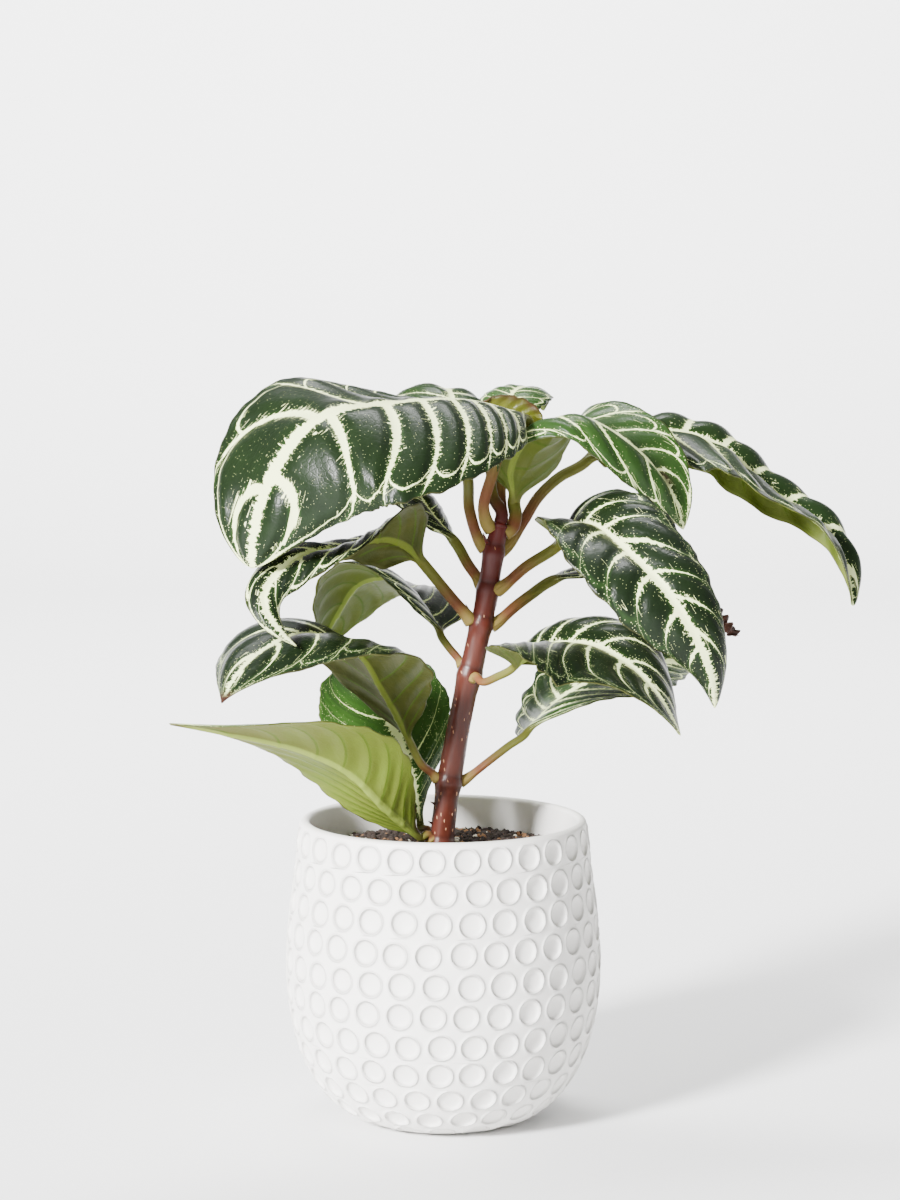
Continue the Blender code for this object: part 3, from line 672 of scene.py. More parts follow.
def round_ring(middle, side, up, radius, columns):
    """A round section with its points in a blade's order: over the top, then back underneath."""
    angles = np.radians(90) * np.linspace(-1, 1, 2 * columns + 1)[:, None]
    top, low = (middle + radius * (np.sin(angles) * side + np.cos(angles) * over) for over in (up, -up))
    return np.concatenate((top, low[::-1]))


def leaf_rings(leaf, look, path, share, across):
    """Rings of points from the stalk's foot to the tip, and each one's share of stalk and blade."""
    top, low = blade_sides(leaf, look, path, share, across)
    part = "crown" if leaf["petiole"][0] > CROWN_HEIGHT else "lower"
    stalk_radius, joint_radius = look["stalk"] or STALK_RADII[part]

    def tube(tables, at, radius):
        middle, side, up = (along(table, at) for table in tables)
        return round_ring(middle, side, -up if look["turned"] else up, radius, len(across) // 2)

    rings, places = [], []
    stations = max(8, round(path.stalk_length))
    for k in range(stations):
        climb = k / stations
        swelling = ease(1 - climb / look["joint"], 0.0, 1.0)
        radius = stalk_radius + (joint_radius - stalk_radius) * swelling
        rings.append(tube((path.stalk, path.stalk_side, path.stalk_up), climb, radius))
        places.append((climb, 0.0))
    for k, s in enumerate(share[:-1]):
        sheet = np.concatenate((top[k], low[k][::-1]))
        opened = ease(s, 0.0, OPENED_BY)
        if opened < 1:
            sheet = tube((path.line, path.side, path.up), s, stalk_radius) * (1 - opened) + sheet * opened
        rings.append(sheet)
        places.append((1.0, s))
    return rings, np.array(places)


# %% What each point tells the finish, and the leaf put together
NOISE_APART = 300  # between two leaves, so that no two have the same noise
NOISE_LIFT, PHASE_LIFT = 500, 20  # keep the places across and the phases above 0


def leaf_marks(leaf, look, path, seed, places, across):
    """Each point's place, the veins there, its look and its wear."""
    rings = len(places)
    both = np.concatenate((across, across[::-1]))
    t = np.append(np.repeat(places[:, 0], len(both)), (0, 1))
    s = np.append(np.repeat(places[:, 1], len(both)), (0, 1))
    u = np.append(np.tile(both, rings), (0, 0))
    low = np.append(np.tile(np.repeat((0.0, 1.0), len(across)), rings), (1, 0))
    half = outline(leaf, s)
    marked = off_rib(look, s, u)
    phase, span = vein_phase(look, path.length, half, s, marked)
    stalk = np.maximum((t < 1) * 1.0, 1 - ease(s, 0.0, 0.06))
    dry_rim = ease(np.abs(u), look["rim"], look["rim"] + 0.2)
    dry = np.maximum(ease(s, look["dry"], look["dry"] + 0.04), dry_rim)
    for spot_share, spot_across, spot_size in look["spots"]:
        away = np.hypot((s - spot_share) * path.length / 2, (u - spot_across) * half)
        dry = np.maximum(dry, 0.85 * bell(away, spot_size))
    every = np.ones(len(s))
    return {
        "leaf_place": np.stack((s * path.length + NOISE_APART * seed, u * half + NOISE_LIFT, s), axis=1),
        "vein_rule": np.stack((phase + PHASE_LIFT, span, half), axis=1),
        "leaf_look": np.stack((low, stalk, look["youth"] * every), axis=1),
        "leaf_wear": np.stack((dry, t, look["tan"] * every), axis=1),
        "leaf_margin": np.stack((np.abs(marked), np.abs(u), np.sign(marked) * 0.5 + seed), axis=1),
        "cream_width": np.outer(every, (look["rib"], look["vein"], look["loops"])),
        "cream_end": look["tail"] * every,
    }


def build_leaf(name, leaf, look, seed):
    path = LeafPath(leaf)
    even = np.linspace(0, 1, max(24, round(path.length / STEP_ALONG)) + 1)
    share = 0.65 * even + 0.35 * (0.5 - 0.5 * np.cos(np.pi * even))
    across = np.linspace(-1, 1, 2 * max(6, round(leaf["width"] / STEP_ACROSS)) + 1)
    rings, places = leaf_rings(leaf, look, path, share, across)
    points = np.concatenate((*rings, path.stalk[:1], path.line[-1:]))
    faces = facing_out(points, loft_faces(len(rings), 2 * len(across)))
    marks = leaf_marks(leaf, look, path, seed, places, across)
    return piece_from(name.replace("leaf", "blade"), points, faces, marks)


# %% [markdown]
# ## The leaf's finish
#
# Seen close, the cream of a zebra plant's vein ends in fine spikes that run out into the green, and tiny
# cream specks lie scattered between. The finish measures how far each point is from the nearest vein,
# in millimetres, and lets noise that is stretched square to the vein eat into the edge.

# %% What a point of the leaf knows
class LeafFinish(Finish):
    """What the mesh tells of each point, and how far the point is from midrib, vein and loop."""

    def __init__(self):
        super().__init__("zebra leaf")
        self.place = self.told("leaf_place", "Vector")
        self.run, self.offset, self.share = self.parts(self.place)
        self.phase, self.span, self.half = self.parts(self.told("vein_rule", "Vector"))
        self.under, self.stalk, self.youth = self.parts(self.told("leaf_look", "Vector"))
        self.dry, self.climb, self.tan = self.parts(self.told("leaf_wear", "Vector"))
        self.a, self.edge, self.seed = self.parts(self.told("leaf_margin", "Vector"))
        self.rib_size, self.vein_size, self.loops = self.parts(self.told("cream_width", "Vector"))
        self.tail = self.told("cream_end")
        self.whole = self.sum("ROUND", self.phase)
        self.across_vein = (self.phase - self.whole) * self.span
        self.vein_away = abs(self.across_vein)
        self.rib_away = self.a * self.half
        self.flow = self.rib_away + self.whole * 31.7
        loop_at = 0.74 + 0.16 * abs(self.sum("SINE", self.phase * math.pi)) ** 0.6
        self.loop_away = abs(self.a - loop_at) * self.half
        self.mottle = self.noise(self.place, 0.09, 4.0)
        self.fine = self.noise(self.place, 0.35, 2.0)
        self.bud = self.ease(self.youth, 1.1, 1.2)


# %% [markdown]
# ### Cream
#
# A side vein's cream is widest at the midrib and thins out towards the margin, where on some leaves an
# arc joins one vein to the next. Every edge is torn: it wanders a little, and where the noise is high it
# bursts into a spike. Veins that crowd together stay thin.

# %% Torn cream veins, spurs and specks
def cream_veins(b):
    """The share of cream from the veins alone, and how near their cream each point is."""

    def tear(x, y, roughness=0.65):
        return b.noise(b.point(x, y), 1.0, 3.0, roughness) - 0.5

    def burst(noise, little, much):
        return little * noise + much * b.larger(noise - 0.07, 0.0)

    rib_spikes = burst(tear(b.run * 0.75, b.offset * 0.24), 0.6, 1.3)
    vein_spikes = burst(tear(b.flow * 0.75, b.across_vein * 0.28 + b.seed * 17.0), 0.5, 1.6)
    loop_spikes = tear(b.run * 1.2, b.offset * 1.2, 0.6)

    swell = b.sum("SINE", b.smaller(b.share ** 1.35, 1.0) * math.pi)
    rib_width = b.rib_size * (0.36 + 0.64 * swell) * b.ease(b.share, 0.0, 0.1)
    rib_width = b.larger(rib_width, b.rib_size * 0.40 * b.ease(b.share, 0.02, 0.1))
    taper = 1.0 - b.ease(b.a, 0.10, 0.78 + 0.12 * b.tail) * (1.0 - b.tail)
    vein_width = b.vein_size * taper * b.ease(b.half, 2.0, 18.0) * b.ease(b.a, 1.0, 0.88)
    vein_width = vein_width * b.smaller(0.25 + b.span / 24.0, 1.1)

    rib = b.ease(rib_width + rib_spikes * (2.6 + b.rib_size * 1.3) - b.rib_away, -0.12, 0.12)
    vein_spikes = vein_spikes * (1.5 + b.vein_size * 2.1) * b.ease(vein_width, 0.0, 0.7)
    vein = b.ease(vein_width + vein_spikes - b.vein_away, -0.10, 0.10)
    loop = b.ease(b.loops * 0.9 + loop_spikes * 0.9 - b.loop_away, -0.10, 0.10)
    loop = loop * b.ease(b.loops, 0.02, 0.2)
    near = b.smaller(b.smaller(b.vein_away - vein_width, b.rib_away - rib_width), b.loop_away)
    return b.larger(b.larger(rib, vein), loop), near


def cream_spurs(b, near):
    """Thin spurs that leave the veins here and there."""
    reach = 18.0 * b.larger(b.noise(b.place, 0.16, 2.0) - 0.46, 0.0)
    line = b.noise(b.point(b.flow * 0.30, b.across_vein * 0.05 + b.seed * 9.0), 1.0, 1.0, 0.4)
    spur = b.ease(0.007 - abs(line - 0.5), -0.003, 0.003) * b.ease(reach - near, 0.0, 0.4)
    return spur * b.ease(b.vein_size, 0.5, 1.2) * b.ease(b.a, 0.97, 0.9)


def cream_specks(b, near):
    """Specks in the middle of random cells, most of them near the veins."""
    cells = b.node("ShaderNodeTexVoronoi", {"voronoi_dimensions": "2D"}, Vector=b.place, Scale=1.0)
    chance = b.parts(cells.outputs["Color"])[0]
    crowd = 0.89 - 0.34 * b.ease(near, 3.0, 0.2) - 0.08 * b.ease(b.edge, 0.9, 1.0)
    size = 0.07 + 0.26 * b.larger(chance - crowd, 0.0)
    speck = b.ease(size - Reading(b, cells.outputs["Distance"]), -0.05, 0.05)
    return speck * b.ease(chance - crowd, -0.01, 0.01)


# %% [markdown]
# ### Green, pale and brown
#
# Old blades are nearly black and young ones bright green, a little lighter round the cream. The
# underside is a dull yellow-green with greener veins. The stalk goes from a pale joint through tan to
# green. The bud has colours of its own, and dry places are brown all through.

# %% The leaf's colours
def upper_side(b, cream, near):
    dark = b.tint(b.mottle, rgb(9, 15, 8), rgb(17, 28, 13))
    fresh = b.tint(b.mottle, rgb(42, 74, 26), rgb(62, 96, 38))
    creamy = b.tint(b.youth * 0.35, rgb(226, 236, 172), rgb(206, 228, 140))
    halo = b.ease(near, 1.6, 0.1) * 0.20
    return b.layered(dark, (b.youth, fresh), (halo, rgb(52, 84, 34)), (cream, creamy))


def underside(b):
    old_tip = b.ease(b.share, 0.3, 0.95) * b.ease(b.youth, 0.5, 0.7)
    vein = b.ease(b.vein_away, 0.7, 0.3) * b.ease(b.a, 0.95, 0.8)
    rib = b.tint(b.tan, rgb(150, 168, 74), rgb(118, 132, 44))
    return b.layered(rgb(82, 98, 34), (b.youth, rgb(112, 132, 44)), (b.tan, rgb(46, 54, 18)),
                     (b.mottle * 0.6, rgb(98, 96, 50)), (old_tip * 0.7, rgb(88, 80, 48)),
                     (vein * 0.6, rgb(70, 94, 22)), (b.ease(b.rib_away, 2.0, 1.2) * 0.6, rib))


def stalk_skin(b):
    of_bud = b.tint(b.ease(b.climb, 0.05, 0.45), rgb(66, 26, 22), rgb(84, 78, 30))
    return b.layered(rgb(108, 66, 44), (b.ease(b.climb, 0.25, 0.8), rgb(92, 100, 40)),
                     (b.ease(b.climb, 0.30, 0.08) * 0.8, rgb(138, 126, 66)),
                     (b.fine * 0.35, rgb(108, 70, 40)), (b.bud, of_bud))


def leaf_colour(b, cream, near):
    of_bud = b.tint(b.mottle, rgb(54, 60, 12), rgb(88, 90, 28))
    rim = b.ease((1.0 - b.edge) * b.half, 0.6, 0.2) * (1.0 - b.stalk)
    brown = b.tint(b.fine, rgb(70, 40, 28), rgb(26, 16, 12))
    return b.layered(upper_side(b, cream, near), (b.under, underside(b)), (b.bud, of_bud),
                     (rim * 0.5, rgb(60, 58, 26)), (b.stalk, stalk_skin(b)), (b.dry, brown))


# %% [markdown]
# ### Gloss and fine relief
#
# The green is glossy, and cream, underside and dry places are duller. A fine net of cells and small
# wrinkles between the veins break up the highlights. They are too fine for the mesh, so they are bump.

# %% The finish put together, and all leaves
WRINKLES_PER_VEIN = 3.0


def leaf_relief(b, cream):
    net = b.read("Distance", "ShaderNodeTexVoronoi", Vector=b.place, Scale=0.36,
                 settings={"voronoi_dimensions": "2D", "feature": "DISTANCE_TO_EDGE"})
    netting = b.ease(net, 0.0, 0.18)
    wrinkle = (0.5 + 0.5 * b.sum("COSINE", b.phase * (WRINKLES_PER_VEIN * TURN))) * (1.0 - b.under)
    wrinkle = wrinkle * 0.5 * b.ease(b.a, 0.1, 0.4) * (1.0 - b.bud)
    return netting * 0.12 + b.fine * 0.5 + cream * 0.25 + wrinkle


def leaf_finish():
    b = LeafFinish()
    cream, near = cream_veins(b)
    cream = b.larger(b.larger(cream, cream_specks(b, near) * 0.8), cream_spurs(b, near) * 0.85)
    gloss = 0.27 + 0.10 * b.fine + 0.12 * cream + 0.16 * b.under + 0.25 * b.dry
    b.feed(Base_Color=leaf_colour(b, cream, near), Roughness=gloss, Specular_IOR_Level=0.14)
    b.bump(0.40, 0.0005, leaf_relief(b, cream))
    return b.material


leaf_cream = leaf_finish()
total = 0
for seed, (name, leaf) in enumerate(LEAVES.items(), 1):
    blade = build_leaf(name, leaf, LOOKS[name], seed)
    blade.data.materials.append(leaf_cream)
    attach(blade, "root")
    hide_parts(name)
    "bud" if name == "bud_leaf" else "leaf"
    total += sum(len(p.vertices) - 2 for p in blade.data.polygons)
print("leaves:", len(LEAVES), "triangles:", total)

# %% [markdown]
# ## The stem
#
# The stem is woody and glossy, red-brown, a little swollen where each pair of leaves leaves it, with a
# dark ring-shaped scar just above. Its bark is a plain loft along the stem's line. A few short stubs
# stand on it, what is left of stalks that broke off.

# %% Bark
BARK_STEP = 0.6
BARK_SIDES = 40
STUB_SIDES = 8
JOINT_HEIGHTS = (113.5, 139.0, 183.5, 204.5, 218.5, 234.0)
SWELLING, SWELLING_WIDTH = 0.25, 2.2
SCAR_ABOVE, SCAR_DEPTH, SCAR_WIDTH = 3.4, 0.12, 0.7
STUBS = (((12.4, -1.5, 207.0), (9.2, -1.8, 213.0), 0.8), ((-2.6, -1.5, 130.0), (-5.3, -1.8, 131.3), 0.9),
         ((-3.4, -1.5, 121.8), (-6.2, -1.8, 123.2), 0.9), ((17.9, -4.0, 238.0), (16.2, -4.6, 242.5), 0.8))


def stem_rings():
    """The middle and radius of every ring of bark, and how much of a scar it is."""
    line = np.array(STEM_LINE, float)
    heading = unit(line[-1, :3] - line[-2, :3])
    tip = np.append(line[-1, :3] + 2 * STEM_TIP_ROUNDING * heading, 0.5 * line[-1, 3])
    knots = np.concatenate((line, tip[None]))
    at = np.concatenate(([0], np.cumsum(np.linalg.norm(np.diff(knots[:, :3], axis=0), axis=1))))
    run = np.concatenate((np.arange(0, at[-2], BARK_STEP), np.linspace(at[-2], at[-1], 3)))
    middle = np.stack([np.interp(run, at, knots[:, k]) for k in range(3)], axis=1)
    radius = np.interp(run, at, knots[:, 3])
    smooth = np.convolve(np.pad(radius, 3, "edge"), np.hanning(9)[1:-1] / np.hanning(9).sum(), "valid")
    radius = np.where(run < at[-2], smooth, radius)
    up = middle[:, 2:] - np.array(JOINT_HEIGHTS)
    rings = SWELLING * bell(up, SWELLING_WIDTH) - SCAR_DEPTH * bell(up - SCAR_ABOVE, SCAR_WIDTH)
    return run, middle, radius + rings.sum(axis=1), bell(up - SCAR_ABOVE, 0.9).sum(axis=1)


def circle_on(heading, sides):
    """Directions round a heading, one for each side."""
    out = unit(np.cross(heading, (0, 1, 0)))
    other = np.cross(heading, out)
    angle = np.linspace(0, TURN, sides, endpoint=False)[:, None]
    return np.cos(angle) * out[..., None, :] + np.sin(angle) * other[..., None, :]


def build_bark():
    run, middle, radius, scar = stem_rings()
    angle = np.linspace(0, TURN, BARK_SIDES, endpoint=False)
    wave = 0.06 * np.sin(3 * angle + run[:, None] / 9) + 0.05 * np.sin(7 * angle - run[:, None] / 5)
    size = radius[:, None] + wave * ease(run, 0, 5)[:, None]
    heading = headings(middle)
    points = (middle[:, None] + size[..., None] * circle_on(heading, BARK_SIDES)).reshape(-1, 3)
    points = np.concatenate((points, middle[:1], middle[-1:] + 0.4 * heading[-1:]))
    faces = facing_out(points, loft_faces(len(run), BARK_SIDES))
    scar = np.append(np.repeat(scar, BARK_SIDES), (0, 0))
    for foot, end, thickness in STUBS:
        foot, end = np.array(foot), np.array(end)
        round_it = circle_on(unit(end - foot), STUB_SIDES)
        stations = ((foot, thickness), (0.5 * (foot + end), 0.6 * thickness), (end, 0.15 * thickness))
        rings = np.concatenate([at + size * round_it for at, size in stations])
        caps = [tuple(range(STUB_SIDES - 1, -1, -1)), tuple(range(2 * STUB_SIDES, 3 * STUB_SIDES))]
        stub = facing_out(rings - foot, loft_faces(3, STUB_SIDES, closed=False) + caps)
        faces = faces + [tuple(len(points) + k for k in face) for face in stub]
        points = np.concatenate((points, rings))
        scar = np.append(scar, np.full(len(rings), 0.4))
    return piece_from("bark", points, faces, {"scar": scar})


def bark_finish():
    b = Finish("red bark")
    x, y, z = b.parts(b.spot())
    streaks = b.noise(b.point(x * 900.0, y * 900.0, z * 130.0), 1.0, 4.0, 0.6, flat=False)
    blotches = b.noise(b.point(x * 120.0, y * 120.0, z * 60.0), 1.0, 3.0, 0.5, flat=False)
    scar = b.told("scar") * 0.4
    colour = b.layered(rgb(50, 17, 11), (streaks, rgb(88, 37, 24)), (blotches * 0.6, rgb(66, 34, 24)),
                       (b.ease(z, 0.19, 0.245) * 0.65, rgb(84, 18, 20)), (scar, rgb(34, 14, 12)))
    b.feed(Base_Color=colour, Roughness=0.28 + 0.2 * streaks, Specular_IOR_Level=0.3)
    b.bump(0.3, 0.0003, streaks)
    return b.material


stem = build_bark()
print("bark faces:", len(stem.data.polygons), "stubs:", len(STUBS))

# %% [markdown]
# ### Corky pores
#
# The bark is dotted with pale corky pores, most of them near the soil, and these are raised from it.
# They repeat at random all over the bark, which is a job for Geometry Nodes: points are scattered on the
# bark, each gets a small bead, stretched along the stem, and the result is taken as a plain mesh.

# %% A geometry tree with named inputs
def shape_tree(name, inputs):
    """A geometry tree with its named number inputs, and the readings of them."""
    tree = bpy.data.node_groups.new(name, "GeometryNodeTree")
    tree.interface.new_socket(name="Geometry", in_out="INPUT", socket_type="NodeSocketGeometry")
    for label, value in inputs.items():
        kind = "NodeSocketInt" if isinstance(value, int) else "NodeSocketFloat"
        tree.interface.new_socket(name=label, in_out="INPUT", socket_type=kind).default_value = value
    tree.interface.new_socket(name="Geometry", in_out="OUTPUT", socket_type="NodeSocketGeometry")
    b = Bench(tree)
    entry = b.node("NodeGroupInput")
    return b, entry.outputs["Geometry"], {label: Reading(b, entry.outputs[label]) for label in inputs}


def close_tree(b, geometry, material=None):
    """Ends the tree in Realize Instances and, where one material covers all, Set Material."""
    last = b.node("GeometryNodeRealizeInstances", Geometry=geometry).outputs[0]
    if material is not None:
        last = b.node("GeometryNodeSetMaterial", Geometry=last, Material=material).outputs[0]
    b.node("NodeGroupOutput", Geometry=last)
    return b


def run_tree(thing, b, sizes):
    """Runs a tree on an object with its sizes and takes the result as a plain smooth mesh."""
    change = thing.modifiers.new("rule", "NODES")
    change.node_group = b.tree
    for socket in b.tree.interface.items_tree:
        if socket.in_out == "INPUT" and socket.name in sizes:
            change[socket.identifier] = sizes[socket.name]
    graph = bpy.context.evaluated_depsgraph_get()
    mesh = bpy.data.meshes.new_from_object(thing.evaluated_get(graph), preserve_all_data_layers=True,
                                           depsgraph=graph)
    thing.modifiers.remove(change)
    thing.data = mesh
    mesh.shade_smooth()
    return thing


def scatter(b, geometry, density, seed):
    """Points at random on a surface."""
    return b.node("GeometryNodeDistributePointsOnFaces", {"distribute_method": "RANDOM"},
                  Mesh=geometry, Density=density, Seed=seed)


def beads_on(b, points, bead, rotation, scale):
    placed = b.node("GeometryNodeInstanceOnPoints", Points=points.outputs["Points"],
                    Instance=bead, Rotation=rotation, Scale=scale)
    return placed.outputs[0]


def random_number(b, low, high, seed):
    return b.read(1, "FunctionNodeRandomValue", {"data_type": "FLOAT"}, i2=low, i3=high, Seed=seed)


# %% Pores
PORES = {"Pores per metre": 42000.0, "Pore width": 0.00026, "Seed": 4}


def pores_tree(bark, cork):
    b, geometry, given = shape_tree("pores", PORES)
    z = b.parts(b.node("GeometryNodeInputPosition").outputs[0])[2]
    crowd = given["Pores per metre"] * b.ease(z, 0.26, 0.12) ** 1.5
    points = scatter(b, geometry, crowd, given["Seed"])
    bead = b.node("GeometryNodeMeshIcoSphere", Radius=given["Pore width"], Subdivisions=2)
    upright = b.node("FunctionNodeAlignEulerToVector", {"axis": "X"}, Vector=points.outputs["Normal"])
    length = random_number(b, 0.7, 1.0, given["Seed"])
    stretch = b.point(0.5, length, length * 3.2)
    placed = beads_on(b, points, bead.outputs["Mesh"], upright.outputs[0], stretch)
    joined = b.node("GeometryNodeJoinGeometry")
    for shape, material in ((geometry, bark), (placed, cork)):
        painted = b.node("GeometryNodeSetMaterial", Geometry=shape, Material=material)
        b.plug(joined.inputs[0], painted.outputs[0])
    return close_tree(b, joined.outputs[0])


stem = run_tree(stem, pores_tree(bark_finish(), plain_finish("cork", rgb(168, 122, 92), 0.7)), PORES)
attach(stem, "root")
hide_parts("stem")
print("stem faces:", len(stem.data.polygons))

# %% [markdown]
# ## The pot
#
# The pot is a thrown bowl with a thin rounded lip, glazed matt white. Rows of shallow dishes, each with
# a thin raised edge, cover its outside, and every second row is set half a circle round. They look
# pressed in by hand, so each lies a little off its place. The plain bowl is turned from its outline, and
# each point keeps which row it is in and how many circles that row has.

# %% The plain bowl
POT_OUTLINE = (
    (33, 0.8), (42, 4.8), (51.5, 14), (59, 28), (63.3, 45),
    (64.8, 64), (63.6, 84), (60.8, 106), (59.2, 121), (58.8, 123.2),
)
POT_LIP = ((58.5, 123.7), (57.9, 124.1), (56.6, 124.5), (55.4, 124.0), (55.0, 123.3), (54.8, 122.4))
POT_WALL = 4.4
POT_FLOOR = 5.5
POT_INSIDE_HEIGHTS = (116, 110.3, 92, 70, 48, 28, 14)
FLOOR_ROUNDING = 4
FOOT_RADIUS = 31.5
CIRCLE_PITCH = 12.0
AROUND_PITCH = 13.4
POT_AROUND = 520
POT_ROWS = 165


def turned_points(radii, heights, around):
    """Points of a turned surface, ring by ring."""
    angle = np.linspace(0, TURN, around, endpoint=False)
    return np.stack((radii[:, None] * np.cos(angle), radii[:, None] * np.sin(angle),
                     np.repeat(heights[:, None], around, 1)), axis=-1).reshape(-1, 3)


def build_bowl():
    line, length = smooth_line(POT_OUTLINE, 400)
    rows = round(length / CIRCLE_PITCH)
    outside = along(line, np.linspace(0, 1, POT_ROWS))
    climb = np.linspace(0, 1, POT_ROWS) * rows
    plain = list(POT_LIP)
    plain += [(np.interp(z, line[:, 1], line[:, 0]) - POT_WALL, z) for z in POT_INSIDE_HEIGHTS]
    plain.append((np.interp(POT_FLOOR, line[:, 1], line[:, 0]) - POT_WALL - FLOOR_ROUNDING, POT_FLOOR))
    profile = np.concatenate(([(FOOT_RADIUS, 0.0)], outside, plain))
    relief = ease(climb, 0.1, 0.4) * ease(rows - climb, 0.02, 0.12)
    relief = np.concatenate(([0], relief, np.zeros(len(plain))))
    climb = np.concatenate(([0], climb, np.full(len(plain), rows)))
    row = np.clip(np.floor(climb), 0, rows - 1)
    count = np.round(TURN * along(line, (row + 0.5) / rows)[:, 0] / AROUND_PITCH)
    points = turned_points(profile[:, 0], profile[:, 1], POT_AROUND)
    points = np.concatenate((points, ((0, 0, 0), (0, 0, POT_FLOOR))))
    told = {"climb": climb, "count": count, "girth": TURN * profile[:, 0], "relief": relief}
    told = {key: np.repeat(values, POT_AROUND) for key, values in told.items()}
    told["turn"] = np.tile(np.linspace(0, TURN, POT_AROUND, endpoint=False) / TURN, len(profile))
    told = {key: np.append(values, (0, 0)) for key, values in told.items()}
    faces = facing_out(points, loft_faces(len(profile), POT_AROUND))
    return piece_from("bowl", points, faces, told), rows, length / rows


bowl, circle_rows, row_height = build_bowl()
print("rows of circles:", circle_rows, "each", round(row_height, 1), "mm high")

# %% [markdown]
# ### The circles
#
# At each point of the skin the rule finds the middle of the nearest circle and moves the skin by a
# profile of the distance to it. The edge dies out just before the next row begins, where the nearest
# circle changes, so that no step shows. Real edges are crisper than this mesh can carry, so the same
# profile comes back in the glaze as bump.

# %% Where a point lies in its circle
CIRCLE_RADIUS = 5.1
WANDER = 0.9


def circle_places(b, told, row_height, wander, radius):
    """Millimetres from the middle of the nearest circle, and that circle's own radius."""
    climb, turn, count = told("climb"), told("turn"), told("count")
    row = b.sum("FLOOR", climb)
    cell = turn * count + 0.5 * b.sum("MODULO", row, 2.0) + 0.22 * b.sum("SINE", row * 2.3)
    number = b.sum("MODULO", b.sum("FLOOR", cell) + 2.0 * count, count)
    luck = b.node("ShaderNodeTexWhiteNoise", {"noise_dimensions": "2D"}, Vector=b.point(number, row, 0.0))
    luck_x, luck_y, luck_size = b.parts(luck.outputs["Color"])
    x = (b.sum("FRACT", cell) - 0.5) * told("girth") / count + (luck_x - 0.5) * wander
    y = (b.sum("FRACT", climb) - 0.5) * row_height + (luck_y - 0.5) * wander
    return b.sum("SQRT", x * x + y * y), radius * (0.97 + 0.06 * luck_size)


def circle_profile(b, told, away, radius, edge_width):
    """The raised edge and the dish at each distance from a circle's middle, from 0 to 1."""
    row_fade = b.ease(0.5 - abs(b.sum("FRACT", told("climb")) - 0.5), 0.005, 0.05)
    dish = b.larger(1.0 - (away / radius) ** 2.0, 0.0) ** 0.5
    return b.bell(away - radius, edge_width) * row_fade, dish


# %% Dishes pressed in by a rule
def dishes_tree(material, sizes):
    b, geometry, given = shape_tree("dishes", sizes)

    def told(name):
        return b.read("Attribute", "GeometryNodeInputNamedAttribute", {"data_type": "FLOAT"}, Name=name)

    away, radius = circle_places(b, told, given["Row height"], given["Wander"], given["Circle radius"])
    edge, dish = circle_profile(b, told, away, radius, given["Edge width"])
    height = (given["Edge height"] * edge - given["Dish depth"] * dish) * told("relief") * MM
    normal = b.node("GeometryNodeInputNormal").outputs[0]
    push = b.node("ShaderNodeVectorMath", {"operation": "SCALE"}, i0=normal, Scale=height)
    moved = b.node("GeometryNodeSetPosition", Geometry=geometry, Offset=push.outputs[0])
    return close_tree(b, moved.outputs[0], material)


# %% The glaze, with the circles' crisp edges as fine relief
CRISP_WIDTH = 0.5
CRISP_DISH = 0.8


def glaze_finish(row_height):
    b = Finish("matt white glaze")
    spot = b.spot()
    away, radius = circle_places(b, b.told, row_height, WANDER, CIRCLE_RADIUS)
    edge, dish = circle_profile(b, b.told, away, radius, CRISP_WIDTH)
    crisp = (edge - CRISP_DISH * dish) * b.told("relief")
    b.feed(Base_Color=b.tint(b.noise(spot, 60.0, 3.0, flat=False), rgb(240, 238, 234), rgb(232, 229, 224)),
           Roughness=0.42 + 0.16 * b.noise(spot, 400.0, 2.0, flat=False))
    b.bump(0.8, MM, crisp + b.noise(spot, 900.0, 2.0, flat=False) * 0.03)
    return b.material


dish_sizes = {"Row height": row_height, "Circle radius": CIRCLE_RADIUS, "Dish depth": 1.1,
              "Edge height": 0.4, "Edge width": 0.7, "Wander": WANDER}
bowl = run_tree(bowl, dishes_tree(glaze_finish(row_height), dish_sizes), dish_sizes)
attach(bowl, "root")
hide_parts("pot")
print("bowl faces:", len(bowl.data.polygons))

# %% [markdown]
# ## The soil
#
# Potting soil is dark, with crumbs of bark and a few pale grains. The solid keeps its shape and gets a
# dark rough finish. Crumbs are scattered over its top by a geometry tree: each is a small rough ball,
# turned and sized at random, and a number that goes with it says whether it is dark, tan or white.

# %% Crumbs
SOIL_LEVEL = 110.0
SOIL_MOUND = 1.5
SOIL_RADIUS = 54.0
SOIL_AROUND = 60
CRUMBS = {"Crumbs per square metre": 260000.0, "Smallest": 0.35, "Largest": 1.5, "Seed": 7}


def crumb_finish():
    b = Finish("crumbs")
    tone = b.told("tone")
    rough = b.noise(b.spot(), 700.0, 3.0, flat=False)
    tan, white = b.ease(tone, 0.85, 0.87), b.ease(tone, 0.97, 0.98)
    colour = b.layered(rgb(24, 17, 13), (rough, rgb(54, 39, 29)),
                       (tan, rgb(128, 92, 60)), (white, rgb(205, 198, 184)))
    b.feed(Base_Color=colour, Roughness=0.9)
    b.bump(0.6, 0.0006, rough)
    return b.material


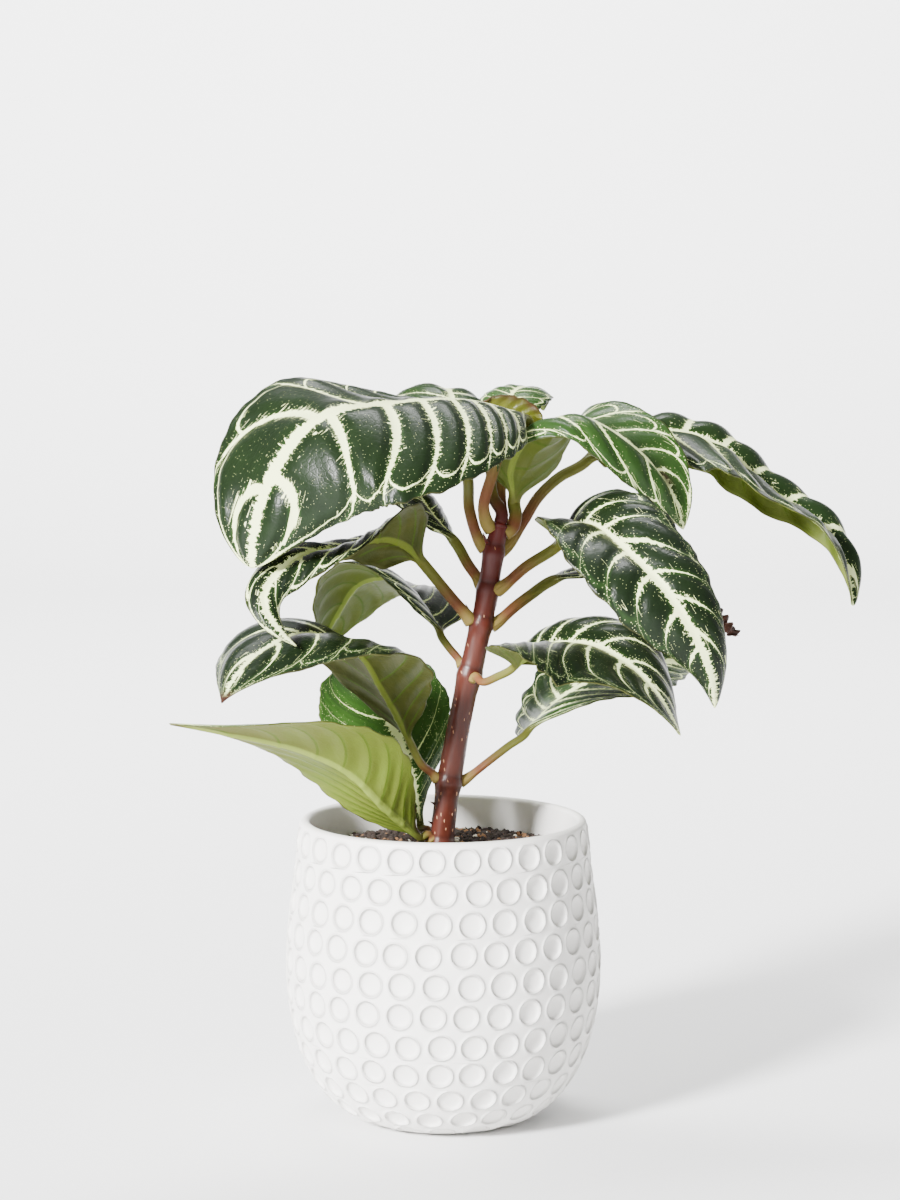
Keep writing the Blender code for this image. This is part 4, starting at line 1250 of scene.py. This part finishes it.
def crumbs_tree(material):
    b, geometry, given = shape_tree("crumbs", CRUMBS)
    bead = b.node("GeometryNodeMeshIcoSphere", Radius=MM, Subdivisions=2)
    wobble = b.node("ShaderNodeTexNoise", {"noise_dimensions": "3D"}, Scale=900.0, Detail=2.0)
    shift = b.node("ShaderNodeVectorMath", {"operation": "SUBTRACT"},
                   i0=wobble.outputs["Color"], i1=(0.5, 0.5, 0.5))
    shift = b.node("ShaderNodeVectorMath", {"operation": "SCALE"}, i0=shift.outputs[0], Scale=1.6 * MM)
    lump = b.node("GeometryNodeSetPosition", Geometry=bead.outputs["Mesh"], Offset=shift.outputs[0])
    size = random_number(b, given["Smallest"], given["Largest"], given["Seed"])
    turn = b.node("FunctionNodeRandomValue", {"data_type": "FLOAT_VECTOR"}, i0=(0.0, 0.0, 0.0),
                  i1=(TURN, TURN, TURN), Seed=11)
    points = scatter(b, geometry, given["Crumbs per square metre"], given["Seed"])
    placed = beads_on(b, points, lump.outputs[0], turn.outputs[0], size)
    marked = b.node("GeometryNodeStoreNamedAttribute", {"data_type": "FLOAT", "domain": "INSTANCE"},
                    Geometry=placed, Name="tone", Value=random_number(b, 0.0, 1.0, 23))
    return close_tree(b, marked.outputs[0], material)


def soil_top():
    """The soil's top as a low mound of rings, which the crumbs are scattered on."""
    radii = np.linspace(3, SOIL_RADIUS, 18)
    height = SOIL_LEVEL + SOIL_MOUND * (1 - (radii / SOIL_RADIUS) ** 2) + 0.1
    faces = loft_faces(len(radii), SOIL_AROUND, closed=False)
    return piece_from("crumbs", turned_points(radii, height, SOIL_AROUND), faces, {})


crumb_paint = crumb_finish()
crumbs = run_tree(soil_top(), crumbs_tree(crumb_paint), CRUMBS)
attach(crumbs, "root")
nodes["soil"].data.materials.clear()
nodes["soil"].data.materials.append(crumb_paint)
print("crumb faces:", len(crumbs.data.polygons))

# %% [markdown]
# ## Floor, light and camera
#
# The plant is shown on a pale floor that bends up into a low wall. A higher wall would be mirrored in
# the glossy leaves and grey their green. A strong light stands to the left in front, as the sun does in
# the picture, a weak one hangs above the crown, and a third brightens the wall. The camera looks
# slightly down on the pot through a long lens, fitted to the two rims of the pot in the photograph.

# %% The studio
COVE_HALF_WIDTH = 6.0
COVE_FRONT = -4.0
COVE_BEND_AT = 2.2
COVE_BEND = 0.8
WALL_TOP = 1.15
SENSOR_WIDTH = 36.0
PHOTO_WIDTH = 900
FOCAL_LENGTH_IN_PIXELS = 2954


def soft_light(name, place, aim, size, power):
    lamp = bpy.data.lights.new(name, "AREA")
    lamp.shape = "DISK"
    lamp.size = size
    lamp.energy = power
    thing = in_scene(name, lamp)
    away = unit(np.array(place) - np.array(aim))
    thing.location = place
    thing.rotation_euler = (math.acos(away[2]), 0.0, math.atan2(away[1], away[0]) + math.pi / 2)


bend = [(COVE_BEND_AT + COVE_BEND * math.sin(t), COVE_BEND - COVE_BEND * math.cos(t))
        for t in np.linspace(0, math.pi / 2, 12)]
section = [(COVE_FRONT, 0.0), (0.0, 0.0)] + bend + [(COVE_BEND_AT + COVE_BEND, WALL_TOP)]
corners = [(x, y, z) for y, z in section for x in (-COVE_HALF_WIDTH, COVE_HALF_WIDTH)]
cove_mesh = bpy.data.meshes.new("cove")
strips = [(2 * k, 2 * k + 1, 2 * k + 3, 2 * k + 2) for k in range(len(section) - 1)]
cove_mesh.from_pydata(corners, [], strips)
cove_mesh.shade_smooth()
cove_mesh.materials.append(plain_finish("pale cove", rgb(240, 240, 240), 0.7))
cove = in_scene("cove", cove_mesh)

world = bpy.data.worlds.new("pale room")
world.use_nodes = True
world.node_tree.nodes["Background"].inputs["Color"].default_value = (1.0, 1.0, 1.0, 1.0)
world.node_tree.nodes["Background"].inputs["Strength"].default_value = 0.55
bpy.context.scene.world = world
soft_light("key", (-2.1, -2.5, 1.7), (0.0, 0.0, 0.18), 0.7, 700.0)
soft_light("crown", (0.1, 0.3, 1.5), (0.0, 0.0, 0.2), 0.8, 4.0)
soft_light("wall", (0.0, 0.9, 2.2), (0.0, 3.0, 0.6), 1.5, 210.0)

lens = bpy.data.cameras.new("camera")
lens.sensor_fit = "HORIZONTAL"
lens.sensor_width = SENSOR_WIDTH
lens.lens = SENSOR_WIDTH * FOCAL_LENGTH_IN_PIXELS / PHOTO_WIDTH
camera = in_scene("camera", lens)
camera.location = (0.0028, -1.2, 0.338)
camera.rotation_euler = (math.radians(84.12), 0.0, 0.0)
bpy.context.scene.camera = camera
print("lens:", round(lens.lens, 1), "mm")
